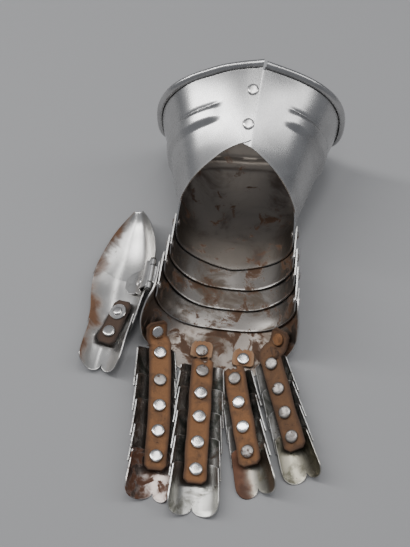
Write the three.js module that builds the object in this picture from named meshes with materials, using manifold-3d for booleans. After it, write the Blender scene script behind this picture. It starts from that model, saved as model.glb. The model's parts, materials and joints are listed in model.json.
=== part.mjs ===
// Plate gauntlet for the right hand, lying on its back with the palm side up.
// Millimetres, +Z up, +Y from the finger tips towards the forearm, +X towards the little finger.
// The origin is under the middle of the whole gauntlet, on the surface that it lies on.
//
// Every plate is a curved sheet. Its face is a function of u, from the thumb side to the little
// finger side, and v, from the finger end to the forearm end, and the wall goes outwards from it.
// The shapes come from a few tables of sections, with a row for each station.

import * as THREE from "three";
import { mergeVertices } from "three/addons/utils/BufferGeometryUtils.js";
import Module from "manifold-3d";

const wasm = await Module();
wasm.setup();

// ---- driving dimensions ----

const PLATE = 1.1; // thickness of the cuff, the lames and the hand plate
const SCALE = 0.9; // thickness of the finger and thumb scales
const LEATHER = 2.0; // thickness of the straps
const GAP = 0.3; // least space between two pieces
const LAME_STEP = { side: 1.8, back: 2.5 }; // how far each wrist plate lies outside the next
const PIVOT_Z = 38; // height of the wrist pivots
const PIVOT_Y = [189, 171, 157, 138.3]; // cuff to lame a, a to b, b to c, c to the hand plate
const PIVOT_SHANK = 1.5;
const SCALE_SHANK = 1.6;

// Outer face of the hand plate, and of the wrist when it is carried on under the lames.
// fullness is the power of the section's curve: 2 is an ellipse, more is squarer.
const HAND_ROWS = [
  { y: 92, centreX: -1, halfWidth: 49.5, depth: 12, fullness: 5.5 },
  { y: 106, centreX: -2.4, halfWidth: 52, depth: 22, fullness: 4.8 },
  { y: 118, centreX: -3, halfWidth: 53.3, depth: 34, fullness: 3.2 },
  { y: 132, centreX: -0.4, halfWidth: 48.6, depth: PIVOT_Z, fullness: 2.4 },
  { y: 144, centreX: 0, halfWidth: 48, depth: PIVOT_Z, fullness: 2.25 },
  { y: 200, centreX: 0, halfWidth: 48, depth: PIVOT_Z, fullness: 2.25 },
];

// Outer face of the cuff: rise is the palm side above the widest height, drop the back below it.
const CUFF_ROWS = [
  { y: 170, axisZ: 38, halfWidth: 40.75, rise: 33, drop: 28.2 },
  { y: 190, axisZ: 39.5, halfWidth: 40.75, rise: 37, drop: 30 },
  { y: 200, axisZ: 41.5, halfWidth: 41.2, rise: 40, drop: 32.7 },
  { y: 221, axisZ: 46.5, halfWidth: 47.6, rise: 45.5, drop: 41 },
  { y: 245, axisZ: 52, halfWidth: 55, rise: 48.5, drop: 48.6 },
  { y: 270, axisZ: 56, halfWidth: 63.6, rise: 51.5, drop: 53 },
  { y: 302, axisZ: 60.5, halfWidth: 71.5, rise: 53, drop: 58.3 },
];
const CUFF_FULLNESS = 2.25;

// Where the cuff's plate ends towards the hand. turn is the angle from the top of the palm side.
const CUFF_HAND_EDGE = [
  { turn: -10, y: 224.5 },
  { turn: 0, y: 220.5 },
  { turn: 27, y: 210 },
  { turn: 58, y: 200.5 },
  { turn: 76, y: 196 },
  { turn: 88, y: 186 },
  { turn: 100, y: 181.5 },
  { turn: 150, y: 176 },
  { turn: 180, y: 172.5 },
];
const CUFF_RIM = { back: 299, side: 269.5, peak: 275.5, skew: 3.8 };
const SEAM = { over: 4.8, under: 8, lift: PLATE + 2 * GAP, ramp: 22 }; // degrees past the top
const BAND = { fromRim: 30, halfWidth: 6.5, rise: 1.8, fadeFrom: 20, fadeTo: 33 };
const ROLL = { width: 5, out: 2.3 }; // the wired roll along the rim

// Lames: back is where the hand side edge lies at the middle of the back.
const LAMES = [
  { name: "wrist_lame_a", nest: 3, back: 158 },
  { name: "wrist_lame_b", nest: 2, back: 143 },
  { name: "wrist_lame_c", nest: 1, back: 128.5 },
];
const LAME_REACH = { hand: 95, cuff: 101 }; // degrees from the middle of the back to the ear's top
const EAR = 6.4; // metal round a pivot

// Fingers: x, y is the first rivet, heading turns the finger towards the little finger side,
// bend turns it back along its length, roll tips its open side towards the thumb.
// left and right are how far round the trough goes on each side of its rivets, in degrees.
// pitch lists the distances between rivets, tip is from the last rivet to the tip, and root is
// where the strap is riveted to the hand plate.
const FINGERS = [
  {
    name: "index", x: -40.6, y: 103, heading: 9.5, bend: -8, roll: -4, radius: 18.2,
    left: 80, right: 41, pitch: [20, 18, 17.5, 17], tip: 27.5,
    root: { x: -47.2, y: 119.5 },
  },
  {
    name: "middle", x: -11.2, y: 93.4, heading: 4, bend: 0, roll: -8, radius: 19,
    left: 66, right: 61, pitch: [16, 16.5, 17.5, 18], tip: 28.5,
    torn: true, root: { x: -13, y: 110.5 },
  },
  {
    name: "ring", x: 13.6, y: 91, heading: 15.3, bend: 1, roll: 22, radius: 17.2,
    left: 51, right: 62, pitch: [17, 17.3, 16.8], tip: 28,
    torn: true, root: { x: 15.5, y: 108 },
  },
  {
    name: "little", x: 37.2, y: 105, heading: 19.5, bend: 1, roll: 29, radius: 16.8,
    left: 59, right: 50, pitch: [18.5, 17, 17], tip: 28.5,
    root: { x: 41.2, y: 122.5 },
  },
];
const NOTCH = 5.8; // depth of the notch between the two lobes of a tip
const SHINGLE = 1.55; // how far a scale's rivet end lies inside the scale before it
const SCALE_HEAD = 5.2; // scale above its rivet
const SCALE_LAP = 7.5; // scale below the next rivet
const STRAP = { width: 14.6, lift: 2.85, rise: 0.4, end: 9, past: 6.5, torn: 10 };
const ROOT = { lift: 1.8, rise: 1.0, flat: 4.5 }; // how high a strap lies at its root, and its edges curl
const DISC = { radius: 4.3, height: 1.3 };

// Thumb: outer face of its plates. The section sags by depth below the chord from left to right.
const THUMB_ROWS = [
  { y: 85, leftX: -93.5, leftZ: 13.5, rightX: -66.5, rightZ: 15.5, depth: 11 },
  { y: 94, leftX: -94.5, leftZ: 12.5, rightX: -65, rightZ: 15.8, depth: 11.8 },
  { y: 105, leftX: -94.5, leftZ: 11, rightX: -63, rightZ: 17, depth: 12.6 },
  { y: 118, leftX: -93.5, leftZ: 9.5, rightX: -59.5, rightZ: 22, depth: 15 },
  { y: 130, leftX: -94, leftZ: 8.2, rightX: -56, rightZ: 27, depth: 16.5 },
  { y: 142, leftX: -96, leftZ: 7.6, rightX: -52.8, rightZ: 31, depth: 17.8 },
  { y: 155, leftX: -97, leftZ: 7.4, rightX: -51.8, rightZ: 32, depth: 18.3 },
  { y: 172, leftX: -94, leftZ: 8, rightX: -52.5, rightZ: 29.5, depth: 16.6 },
  { y: 190, leftX: -87.8, leftZ: 9.5, rightX: -57.6, rightZ: 25, depth: 12 },
  { y: 203, leftX: -80.8, leftZ: 11, rightX: -63.8, rightZ: 19.5, depth: 7 },
  { y: 210.5, leftX: -75.6, leftZ: 12.5, rightX: -68.6, rightZ: 15, depth: 1.6 },
];
const THUMB_SHINGLE = 0.054; // slope of each plate into the one before it

// from and to are its two ends at the middle, and left and right how far the first of them moves
// at the sides. bow is how far the second moves at the left side.
const THUMB_PLATES = {
  thumb_heel_plate: {
    from: 210.5, left: 0, right: 0, to: 150.5, bow: 7.8, slope: 0, columns: 12, rows: 6,
  },
  thumb_base_lame: {
    from: 157, left: 6, right: -1, to: 115, bow: 5, slope: THUMB_SHINGLE, columns: 10, rows: 3,
  },
  thumb_tip_scale: {
    from: 123.5, left: -2, right: -2, to: 86, bow: 0, slope: THUMB_SHINGLE, columns: 12, rows: 4,
  },
};
const THUMB_RIVETS = [
  { plate: "thumb_base_lame", u: 0.4, y: 130, head: 3.2, washer: 6 },
  { plate: "thumb_tip_scale", u: 0.39, y: 114, head: 4.3, washer: 0 },
];
const THUMB_STRAP = { width: 13.4, lift: 3.2, rise: 0.3, past: 9, before: 10 };
const HINGE = { x: -52, z: 39, from: 134, to: 156.5, end: 4.5, radius: 2.4, pin: 1.1 };
const LEAF = {
  wall: 1.1, inset: 4.9, edge: 0.86, end: 0.38, bend: 0.36, in: 7.5, up: 6.2, hand: 2,
  shift: 8.5, half: 10.2, rivet: 0.6,
};

// ---- tables and small sums ----

const rad = THREE.MathUtils.degToRad;
const clamp = THREE.MathUtils.clamp;
const lerp = THREE.MathUtils.lerp;
const smooth = THREE.MathUtils.smoothstep;

// Reads column `key` at `value` of column `by`, on a smooth curve through the rows.
function read(rows, by, value, key) {
  let i = 0;
  while (i < rows.length - 2 && value > rows[i + 1][by]) i += 1;
  const slope = (j) => {
    const before = rows[Math.max(j - 1, 0)];
    const after = rows[Math.min(j + 1, rows.length - 1)];
    return (after[key] - before[key]) / (after[by] - before[by]);
  };
  const span = rows[i + 1][by] - rows[i][by];
  const t = clamp((value - rows[i][by]) / span, 0, 1);
  const a = rows[i][key];
  const b = rows[i + 1][key];
  const rest = t * t * (3 - 2 * t);
  const bow = span * t * (1 - t) * ((1 - t) * slope(i) - t * slope(i + 1));
  return a + (b - a) * rest + bow;
}

// A number raised to a power that keeps its sign.
function signedPower(value, power) {
  return Math.sign(value) * Math.abs(value) ** power;
}

// ---- solids ----

// A closed solid from a geometry, turned right side out.
function solid(geometry) {
  const bare = geometry.clone();
  bare.deleteAttribute("normal");
  bare.deleteAttribute("uv");
  const merged = mergeVertices(bare, 1e-4);
  const points = merged.attributes.position;
  const corner = [0, 1, 2].map(() => new THREE.Vector3());
  const triangles = [];
  let volume = 0;
  for (let i = 0; i < merged.index.count; i += 3) {
    const ids = [0, 1, 2].map((k) => merged.index.getX(i + k));
    if (new Set(ids).size < 3) continue;
    ids.forEach((id, k) => corner[k].fromBufferAttribute(points, id));
    volume += corner[0].dot(corner[1].clone().cross(corner[2]));
    triangles.push(ids);
  }
  const order = volume > 0 ? [0, 1, 2] : [0, 2, 1];
  const triVerts = Uint32Array.from(triangles.flatMap((ids) => order.map((k) => ids[k])));
  const vertProperties = Float32Array.from(points.array);
  return new wasm.Manifold(new wasm.Mesh({ numProp: 3, vertProperties, triVerts }));
}

// Outward direction of a sheet's face at u, v.
function outward(form, u, v) {
  const step = 0.004;
  const across = form(Math.min(u + step, 1), v).sub(form(Math.max(u - step, 0), v));
  const up = form(u, Math.min(v + step, 1)).sub(form(u, Math.max(v - step, 0)));
  return up.cross(across).normalize();
}

// The same face, moved outwards by `amount(u, v)`.
function moved(form, amount) {
  return (u, v) => form(u, v).addScaledVector(outward(form, u, v), amount(u, v));
}

// A bent sheet between a face and the same face moved outwards by `wall(u, v)`.
function sheet(form, wall, columns, rows) {
  const box = new THREE.BoxGeometry(1, 1, 1, columns, 1, rows);
  const place = box.attributes.position;
  for (let i = 0; i < place.count; i += 1) {
    const u = place.getX(i) + 0.5;
    const v = place.getZ(i) + 0.5;
    const point = form(u, v);
    if (place.getY(i) > 0) point.addScaledVector(outward(form, u, v), wall(u, v));
    place.setXYZ(i, point.x, point.y, point.z);
  }
  return solid(box);
}

// A turned piece on an axis through `base`: each row is a radius and a height along `direction`.
function turned(profile, base, direction, sides) {
  const lathe = new THREE.LatheGeometry(profile.map(([r, h]) => new THREE.Vector2(r, h)), sides);
  const axis = new THREE.Vector3(0, 1, 0);
  lathe.applyQuaternion(new THREE.Quaternion().setFromUnitVectors(axis, direction));
  lathe.translate(base.x, base.y, base.z);
  return solid(lathe);
}

// A plain round bar from height `from` to `to` along `direction`.
function bar(base, direction, radius, from, to, sides = 10) {
  return turned([[0, from], [radius, from], [radius, to], [0, to]], base, direction, sides);
}

function mesh(name, body, material) {
  const data = body.getMesh();
  const geometry = new THREE.BufferGeometry();
  geometry.setAttribute("position", new THREE.BufferAttribute(data.vertProperties, 3));
  geometry.setIndex(new THREE.BufferAttribute(data.triVerts, 1));
  geometry.computeVertexNormals();
  const piece = new THREE.Mesh(geometry, material);
  piece.name = name;
  return piece;
}

// ---- finishes ----

const steel = (color, roughness) =>
  new THREE.MeshStandardMaterial({ color, roughness, metalness: 0.9 });
const leather = (color) =>
  new THREE.MeshStandardMaterial({ color, roughness: 0.85, metalness: 0 });

// ---- wrist and hand ----

// A point of the wrist and hand form, `nest` plates in from the outermost one.
// angle is 0 at the middle of the back and 90 at the side.
function wristPoint(angle, y, nest) {
  const row = (key) => read(HAND_ROWS, "y", y, key);
  const power = 2 / row("fullness");
  const depth = row("depth");
  const halfWidth = row("halfWidth") - nest * LAME_STEP.side;
  const drop = depth - nest * LAME_STEP.back;
  const x = row("centreX") + halfWidth * signedPower(Math.sin(rad(angle)), power);
  return new THREE.Vector3(x, y, depth - drop * signedPower(Math.cos(rad(angle)), power));
}

// The two rivets of a wrist pivot, on the plate that is `nest` plates in from the outermost.
// The hand plate's thumb side rivet has no outer head, because the hinge leaf lies over it.
function pivotRivets(y, nest) {
  const inner = LAME_STEP.side + PLATE + 1.5 * GAP;
  const shank = [[PIVOT_SHANK, 0.3], [PIVOT_SHANK, inner], [2.7, inner], [2.2, inner + 1], [0, inner + 1]];
  return [-1, 1].map((side) => {
    const isFlush = nest === 0 && side < 0;
    const outer = isFlush ? [[0, 0.3]] : [[0, -1.2], [2.2, -1.2], [3.1, 0.3]];
    const base = wristPoint(side * 90, y, nest);
    return turned([...outer, ...shank], base, new THREE.Vector3(-side, 0, 0), 8);
  });
}

// A hole through both sides for a wrist pivot.
function pivotHole(y) {
  const base = new THREE.Vector3(-80, y, PIVOT_Z);
  return bar(base, new THREE.Vector3(1, 0, 0), PIVOT_SHANK + GAP, 0, 160, 8);
}

function lame(index) {
  const { name, nest, back } = LAMES[index];
  const cuffPivot = PIVOT_Y[index];
  const handPivot = PIVOT_Y[index + 1];
  const outer = (u, v) => {
    const turn = Math.abs(2 * u - 1);
    const side = smooth(turn, 0.15, 0.88);
    const ear = smooth(turn, 0.9, 1) * 5;
    const handEdge = lerp(back, handPivot - EAR, side) + ear;
    const cuffEdge = lerp(cuffPivot - 2.5, cuffPivot + EAR, side) - ear * 0.6;
    const reach = lerp(LAME_REACH.hand, LAME_REACH.cuff, v);
    return wristPoint((2 * u - 1) * reach, lerp(handEdge, cuffEdge, v), nest);
  };
  const body = sheet(moved(outer, () => -PLATE), () => PLATE, 20, 2)
    .subtract(pivotHole(handPivot));
  const riveted = pivotRivets(cuffPivot, nest).reduce((sum, rivet) => sum.add(rivet), body);
  return mesh(name, riveted, steel(0x77706a, 0.5));
}

// Where the hand plate ends: towards the wrist, and towards the fingers.
const HAND_EDGE_WRIST = { back: 136.5, side: 144.7, thumbSide: 153 };
const HAND_EDGE_FINGERS = [
  { turn: -1, y: 113 },
  { turn: -0.75, y: 110.5 },
  { turn: -0.5, y: 109.5 },
  { turn: -0.2, y: 97.5 },
  { turn: 0.25, y: 98.5 },
  { turn: 0.6, y: 108.5 },
  { turn: 1, y: 117 },
];
const HAND_REACH = [
  { y: 96, reach: 46 },
  { y: 106, reach: 58 },
  { y: 118, reach: 82 },
  { y: 132, reach: 95 },
  { y: 154, reach: 99 },
];

function handPoint(u, v) {
  const turn = 2 * u - 1;
  const side = smooth(Math.abs(turn), 0.2, 0.9);
  const sideEdge = turn < 0 ? HAND_EDGE_WRIST.thumbSide : HAND_EDGE_WRIST.side;
  const wristEdge = lerp(HAND_EDGE_WRIST.back, sideEdge, side);
  const y = lerp(read(HAND_EDGE_FINGERS, "turn", turn, "y"), wristEdge, v);
  return wristPoint(turn * read(HAND_REACH, "y", y, "reach"), y, 0);
}

function handPlate() {
  const plate = sheet(moved(handPoint, () => -PLATE), () => PLATE, 22, 5);
  const rivets = [...pivotRivets(PIVOT_Y[3], 0), ...FINGERS.map(rootRivet)];
  const body = rivets.reduce((sum, rivet) => sum.add(rivet), plate);
  return mesh("hand_plate", body, steel(0x6b5f55, 0.55));
}

// ---- cuff ----

// Height of the raised band, by distance from the rim and angle from the seam.
function bandRise(fromRim, fromSeam) {
  const across = Math.abs(fromRim - BAND.fromRim) / BAND.halfWidth;
  const ridge = 1 - smooth(across, 0.35, 1);
  return BAND.rise * ridge * smooth(fromSeam, BAND.fadeFrom, BAND.fadeTo);
}

// A point of the cuff's outer face. angle is 0 at the back, 180 at the top of the palm side.
function cuffPoint(angle, y, lift) {
  const row = (key) => read(CUFF_ROWS, "y", y, key);
  const power = 2 / CUFF_FULLNESS;
  const cosine = Math.cos(rad(angle));
  const height = (cosine > 0 ? row("drop") : row("rise")) + lift;
  const fromSeam = Math.abs(Math.abs(angle + 180 + SEAM.over) % 360);
  const ridge = 2.2 * Math.exp(-Math.min(fromSeam, 360 - fromSeam) / 14);
  const x = (row("halfWidth") + lift) * signedPower(Math.sin(rad(angle)), power);
  return new THREE.Vector3(x, y, row("axisZ") - height * signedPower(cosine, power) + ridge);
}

// Distances from the rim at which the cuff's sheet has a row, after the rows near the hand.
const CUFF_HAND_STEPS = 4;
const CUFF_RIM_STEPS = [36.5, 32, 28, 23.5, ROLL.width, ROLL.width * 0.85, ROLL.width / 2, 0.8, 0];

// Angles at which it has a column: closer by the lap, and the roll stops short of it.
const CUFF_COLUMNS = 36;
const CUFF_FIRST = -(180 + SEAM.over);
const CUFF_LAST = 180 + SEAM.under;
const ROLL_END = 180 - SEAM.over - 0.7;
const CUFF_TURNS = [
  { column: 0, angle: CUFF_FIRST },
  { column: 3, angle: CUFF_FIRST + 22 },
  { column: 33, angle: ROLL_END },
  { column: 34, angle: ROLL_END + 0.5 },
  { column: 36, angle: CUFF_LAST },
];

function cuffAngle(u) {
  const column = u * CUFF_COLUMNS;
  const next = CUFF_TURNS.findIndex((row, i) => i > 0 && column <= row.column + 1e-6);
  const [a, b] = [CUFF_TURNS[next - 1], CUFF_TURNS[next]];
  return lerp(a.angle, b.angle, (column - a.column) / (b.column - a.column));
}

function cuff() {
  const rows = CUFF_HAND_STEPS + CUFF_RIM_STEPS.length - 1;
  const place = (u, v) => {
    const angle = cuffAngle(u);
    const turn = 180 - Math.abs(angle);
    const fromPeak = Math.min(Math.abs(angle - CUFF_FIRST), Math.abs(angle - CUFF_FIRST - 360));
    const rimY = lerp(CUFF_RIM.back, CUFF_RIM.side, smooth(180 - turn, 5, 85))
      + (CUFF_RIM.peak - CUFF_RIM.side) * Math.exp(-fromPeak / 26)
      + CUFF_RIM.skew * Math.sin(rad(angle));
    const handY = read(CUFF_HAND_EDGE, "turn", turn, "y");
    const step = v * rows - CUFF_HAND_STEPS;
    const near = CUFF_RIM_STEPS[Math.max(Math.floor(step), 0)];
    const far = CUFF_RIM_STEPS[Math.min(Math.max(Math.ceil(step), 0), CUFF_RIM_STEPS.length - 1)];
    const fromRim = lerp(near, far, step - Math.floor(step));
    const y = step < 0 ? lerp(handY, rimY - near, v * rows / CUFF_HAND_STEPS) : rimY - fromRim;
    return { angle, fromPeak, y, fromRim: step < 0 ? rimY - y : fromRim };
  };
  const form = (u, v) => {
    const { angle, fromPeak, y, fromRim } = place(u, v);
    const lap = SEAM.lift * (1 - smooth(angle - CUFF_FIRST, SEAM.over + SEAM.under + 1, SEAM.ramp + 10));
    return cuffPoint(angle, y, bandRise(fromRim, fromPeak) + lap - PLATE);
  };
  const wall = (u, v) => {
    const { fromRim, angle } = place(u, v);
    const round = clamp(Math.abs(fromRim / ROLL.width * 2 - 1), 0, 1);
    const isRolled = fromRim < ROLL.width && angle < ROLL_END + 0.1;
    return PLATE + (isRolled ? ROLL.out * Math.sqrt(1 - round * round) : 0);
  };
  const plate = sheet(form, wall, CUFF_COLUMNS, rows).subtract(pivotHole(PIVOT_Y[0]));
  const rivets = [255, 232].map((y) => {
    const base = cuffPoint(-181.5, y, SEAM.lift);
    const down = new THREE.Vector3(0, 0.25, -1).normalize();
    const inner = SEAM.lift + PLATE;
    const profile = [
      [0, -1.3], [2.6, -1.3], [4.0, -0.4], [4.0, 0.6], [1.5, 0.6],
      [1.5, inner], [2.6, inner - 0.2], [2.0, inner + 0.9], [0, inner + 0.9],
    ];
    return turned(profile, base, down, 10);
  });
  const body = rivets.reduce((sum, rivet) => sum.add(rivet), plate);
  return mesh("cuff", body, steel(0xb5b3ae, 0.35));
}

// ---- fingers ----

// Where a finger's middle line is at distance s from its first rivet towards the tip.
function fingerPlace(finger, s) {
  const length = finger.pitch.reduce((sum, step) => sum + step, 0) + finger.tip;
  const turn = rad(finger.heading + finger.bend * s / length);
  const mean = rad(finger.heading + finger.bend * s / length / 2);
  const offset = -finger.radius * 0.8 * Math.sin(rad(finger.roll));
  const across = new THREE.Vector3(Math.cos(turn), Math.sin(turn), 0);
  const middle = new THREE.Vector3(
    finger.x + s * Math.sin(mean), finger.y - s * Math.cos(mean), finger.radius,
  );
  return { middle: middle.addScaledVector(across, offset), across };
}

// A point of a finger's trough at distance s, angle from its middle, and radius less `inset`.
function troughPoint(finger, s, angle, inset) {
  const { middle, across } = fingerPlace(finger, s);
  const radius = finger.radius - inset;
  const turn = rad(angle + finger.roll);
  return middle.clone()
    .addScaledVector(across, radius * Math.sin(turn))
    .add(new THREE.Vector3(0, 0, -radius * Math.cos(turn)));
}

function rivetStations(finger) {
  const stations = [0];
  finger.pitch.forEach((step) => stations.push(stations.at(-1) + step));
  return stations;
}

// How far a two-lobed end is cut back at w, from -1 to 1 across it.
function lobes(w, notch, corner) {
  const inLobe = (Math.abs(w) - 0.5) / 0.5;
  const depth = Math.abs(w) < 0.5 ? notch : corner;
  return depth * (1 - Math.sqrt(Math.max(1 - inLobe * inLobe, 0)));
}

function fingerScale(finger, index) {
  const stations = rivetStations(finger);
  const rivet = stations[index];
  const isTip = index === stations.length - 1;
  const pitch = isTip ? SCALE_LAP + 10 : stations[index + 1] - rivet;
  const slope = SHINGLE / pitch;
  const end = isTip ? rivet + finger.tip : rivet + pitch + SCALE_LAP;
  const start = rivet - SCALE_HEAD;
  const form = (u, v) => {
    const w = 2 * u - 1;
    const cut = isTip ? lobes(w, NOTCH, 9) : 0.8 * w * w;
    const s = lerp(end - cut, start + 4 * w ** 4, v);
    const inset = slope * Math.max(rivet + pitch + SCALE_LAP - s, 0) + SCALE;
    return troughPoint(finger, s, w * (w < 0 ? finger.left : finger.right), inset);
  };
  const plate = sheet(form, () => SCALE, isTip ? 12 : 6, isTip ? 3 : 1);
  const { base, inwards } = strapSeat(finger, rivet);
  const top = STRAP.lift + LEATHER + 2.5 * GAP;
  const profile = [
    [0, -0.5], [SCALE_SHANK, -0.5], [SCALE_SHANK, top], [DISC.radius, top],
    [DISC.radius - 0.6, top + DISC.height], [0, top + DISC.height],
  ];
  const body = plate.add(turned(profile, base, inwards, 8));
  return mesh(`${finger.name}_scale_${index + 1}`, body, steel(0x8d8780, 0.45));
}

// Where a finger's rivet stands: base on the scale's inner face, inwards its direction.
function strapSeat(finger, s) {
  const inset = SHINGLE * (1 + (SCALE_HEAD + SCALE_LAP) / 18) + SCALE;
  const base = troughPoint(finger, s, 0, inset);
  const inwards = fingerPlace(finger, s).middle.sub(base).normalize();
  return { base, inwards };
}

// ---- straps ----

// Where the root of a strap is riveted to the hand plate.
function rootSeat(finger) {
  const { x, y } = finger.root;
  const row = (key) => read(HAND_ROWS, "y", y, key);
  const part = (x - row("centreX")) / row("halfWidth");
  const angle = THREE.MathUtils.radToDeg(Math.asin(signedPower(part, row("fullness") / 2)));
  const face = (u, v) => wristPoint(angle + 10 * (u - 0.5), y + v - 0.5, 0);
  const inwards = outward(face, 0.5, 0.5).negate();
  return { base: face(0.5, 0.5).addScaledVector(inwards, PLATE), inwards };
}

// A place on a strap's top face: how far over a seat, and how far its edges curl up.
const over = ({ base, inwards }, height, rise) => (
  { point: base.clone().addScaledVector(inwards, height), up: inwards, rise }
);

// A strap's top face from the finger end to its root.
function strapPath(finger) {
  const stations = rivetStations(finger);
  const first = finger.torn ? -STRAP.torn : -SCALE_HEAD - 1.5;
  const onScales = [first, ...stations, stations.at(-1) + STRAP.end].reverse().map((s) => {
    const height = LEATHER + STRAP.lift + (s < 0 ? 2.5 * GAP : 0);
    return over(strapSeat(finger, s), height, STRAP.rise);
  });
  if (finger.torn) return onScales;
  const root = over(rootSeat(finger), ROOT.lift + LEATHER, ROOT.rise);
  const past = root.point.clone().sub(onScales.at(-1).point);
  past.addScaledVector(root.up, -past.dot(root.up)).setLength(STRAP.past);
  const before = root.point.clone().addScaledVector(past, -ROOT.flat / STRAP.past);
  past.addScaledVector(root.up, ROOT.lift);
  return [
    ...onScales, { ...root, point: before }, root, { ...root, point: root.point.clone().add(past) },
  ];
}

// A flat strap with cut corners, bent along its path.
function strapBody(path, width, rows) {
  const curve = new THREE.CatmullRomCurve3(path.map((row) => row.point));
  const length = curve.getLength();
  const form = (u, v) => {
    const knot = Math.min(Math.floor(v * (path.length - 1)), path.length - 2);
    const [a, b] = [path[knot], path[knot + 1]];
    const t = v * (path.length - 1) - knot;
    const up = a.up.clone().lerp(b.up, t).normalize();
    const across = curve.getTangent(v).cross(up).normalize();
    const toEnd = Math.min(v, 1 - v) * length;
    const half = width / 2 * lerp(0.55, 1, smooth(toEnd, -1, 5));
    const side = 2 * u - 1;
    return curve.getPoint(v)
      .addScaledVector(across, side * half)
      .addScaledVector(up, lerp(a.rise, b.rise, t) * side * side);
  };
  return sheet(form, () => LEATHER, 2, rows);
}

const strapHole = ({ base, inwards }) => bar(base, inwards, SCALE_SHANK + GAP, -2, 8, 7);

function fingerStrap(finger) {
  const path = strapPath(finger);
  const seats = rivetStations(finger).map((s) => strapSeat(finger, s));
  if (!finger.torn) seats.push(rootSeat(finger));
  const blank = strapBody(path, STRAP.width, path.length + 1);
  const strap = seats.reduce((rest, seat) => rest.subtract(strapHole(seat)), blank);
  return mesh(`${finger.name}_strap`, strap, leather(0x8a5a34));
}

// What is left on the hand plate of a strap that has torn through.
function rootTab(finger) {
  const seat = rootSeat(finger);
  const flat = over(seat, LEATHER + 1.5 * GAP, 0.3);
  const path = [-7, 0, 9].map((step) => (
    { ...flat, point: flat.point.clone().add(new THREE.Vector3(0, step, 0)) }
  ));
  const tab = strapBody(path, STRAP.width, 4).subtract(strapHole(seat));
  return mesh(`${finger.name}_strap_tab`, tab, leather(0x94683a));
}

// The rivet that holds a strap's root, part of the hand plate.
function rootRivet(finger) {
  const top = LEATHER + (finger.torn ? 3 * GAP : ROOT.lift + 4.5 * GAP);
  const profile = [
    [0, -0.6], [SCALE_SHANK, -0.6], [SCALE_SHANK, top], [4.2, top], [3.4, top + 1.2], [0, top + 1.2],
  ];
  const { base, inwards } = rootSeat(finger);
  return turned(profile, base, inwards, 8);
}

// ---- thumb ----

// A point of the thumb's outer face: a chord from left to right edge, sagging by its depth.
function thumbPoint(u, y) {
  const row = (key) => read(THUMB_ROWS, "y", y, key);
  const left = new THREE.Vector3(row("leftX"), y, row("leftZ"));
  const chord = new THREE.Vector3(row("rightX"), y, row("rightZ")).sub(left);
  const sag = new THREE.Vector3(chord.z, 0, -chord.x).normalize();
  const depth = row("depth") * (1 - Math.abs(2 * u - 1) ** 2.4);
  return left.addScaledVector(chord, u).addScaledVector(sag, depth);
}

// How far inside the thumb's face a plate lies at y.
const thumbInset = (plate, y) => THUMB_PLATES[plate].slope * (y - THUMB_PLATES[plate].to);

function thumbPlate(name, color, roughness) {
  const { from, left, right, to, bow, columns, rows } = THUMB_PLATES[name];
  const lobed = name === "thumb_tip_scale";
  const yAt = (u, v) => {
    const w = 2 * u - 1;
    const tip = to + (lobed ? lobes(w, NOTCH, 8) - w : (w < 0 ? bow : 1) * w * w);
    return lerp(tip, from + (w < 0 ? left : right) * w * w, v);
  };
  const face = (u, v) => thumbPoint(u, yAt(u, v));
  const form = moved(face, (u, v) => -thumbInset(name, yAt(u, v)) - SCALE);
  let body = sheet(form, () => SCALE, columns, rows);
  const rivet = THUMB_RIVETS.find((row) => row.plate === name);
  if (rivet) body = body.add(thumbRivet(rivet));
  return mesh(name, body, steel(color, roughness));
}

function thumbSeat({ plate, u, y }) {
  const inwards = outward((p, q) => thumbPoint(p, y + q - 0.5), u, 0.5).negate();
  const base = thumbPoint(u, y).addScaledVector(inwards, thumbInset(plate, y) + SCALE);
  return { base, inwards };
}

function thumbRivet(rivet) {
  const { base, inwards } = thumbSeat(rivet);
  const top = THUMB_STRAP.lift + LEATHER + 3 * GAP;
  const ring = rivet.washer > 0 ? [[rivet.washer, top], [rivet.washer, top + 0.9]] : [];
  const under = top + (rivet.washer > 0 ? 0.9 : 0);
  const profile = [
    [0, -0.5], [SCALE_SHANK, -0.5], [SCALE_SHANK, top], ...ring,
    [rivet.head, under], [rivet.head - 0.6, under + 1.2], [0, under + 1.2],
  ];
  return turned(profile, base, inwards, 10);
}

function thumbStrap() {
  const seats = THUMB_RIVETS.map(thumbSeat);
  const [near, far] = seats.map((seat) => over(seat, THUMB_STRAP.lift + LEATHER, THUMB_STRAP.rise));
  const step = near.point.clone().sub(far.point).normalize();
  const beyond = (end, distance) => ({ ...end, point: end.point.clone().addScaledVector(step, distance) });
  const path = [beyond(far, -THUMB_STRAP.past), far, near, beyond(near, THUMB_STRAP.before)];
  const blank = strapBody(path, THUMB_STRAP.width, 6);
  const strap = seats.reduce((rest, seat) => rest.subtract(strapHole(seat)), blank);
  return mesh("thumb_strap", strap, leather(0x4a3426));
}

// ---- thumb hinge ----

const hingeBase = new THREE.Vector3(HINGE.x, 0, HINGE.z);
const hingeAxis = new THREE.Vector3(0, 1, 0);
const hingeBore = () => bar(hingeBase, hingeAxis, HINGE.pin + GAP, HINGE.from - 1, HINGE.to + 1, 8);

// A knuckle of the barrel between two stations.
const knuckle = (from, to) => bar(hingeBase, hingeAxis, HINGE.radius, from, to, 12);

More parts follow.
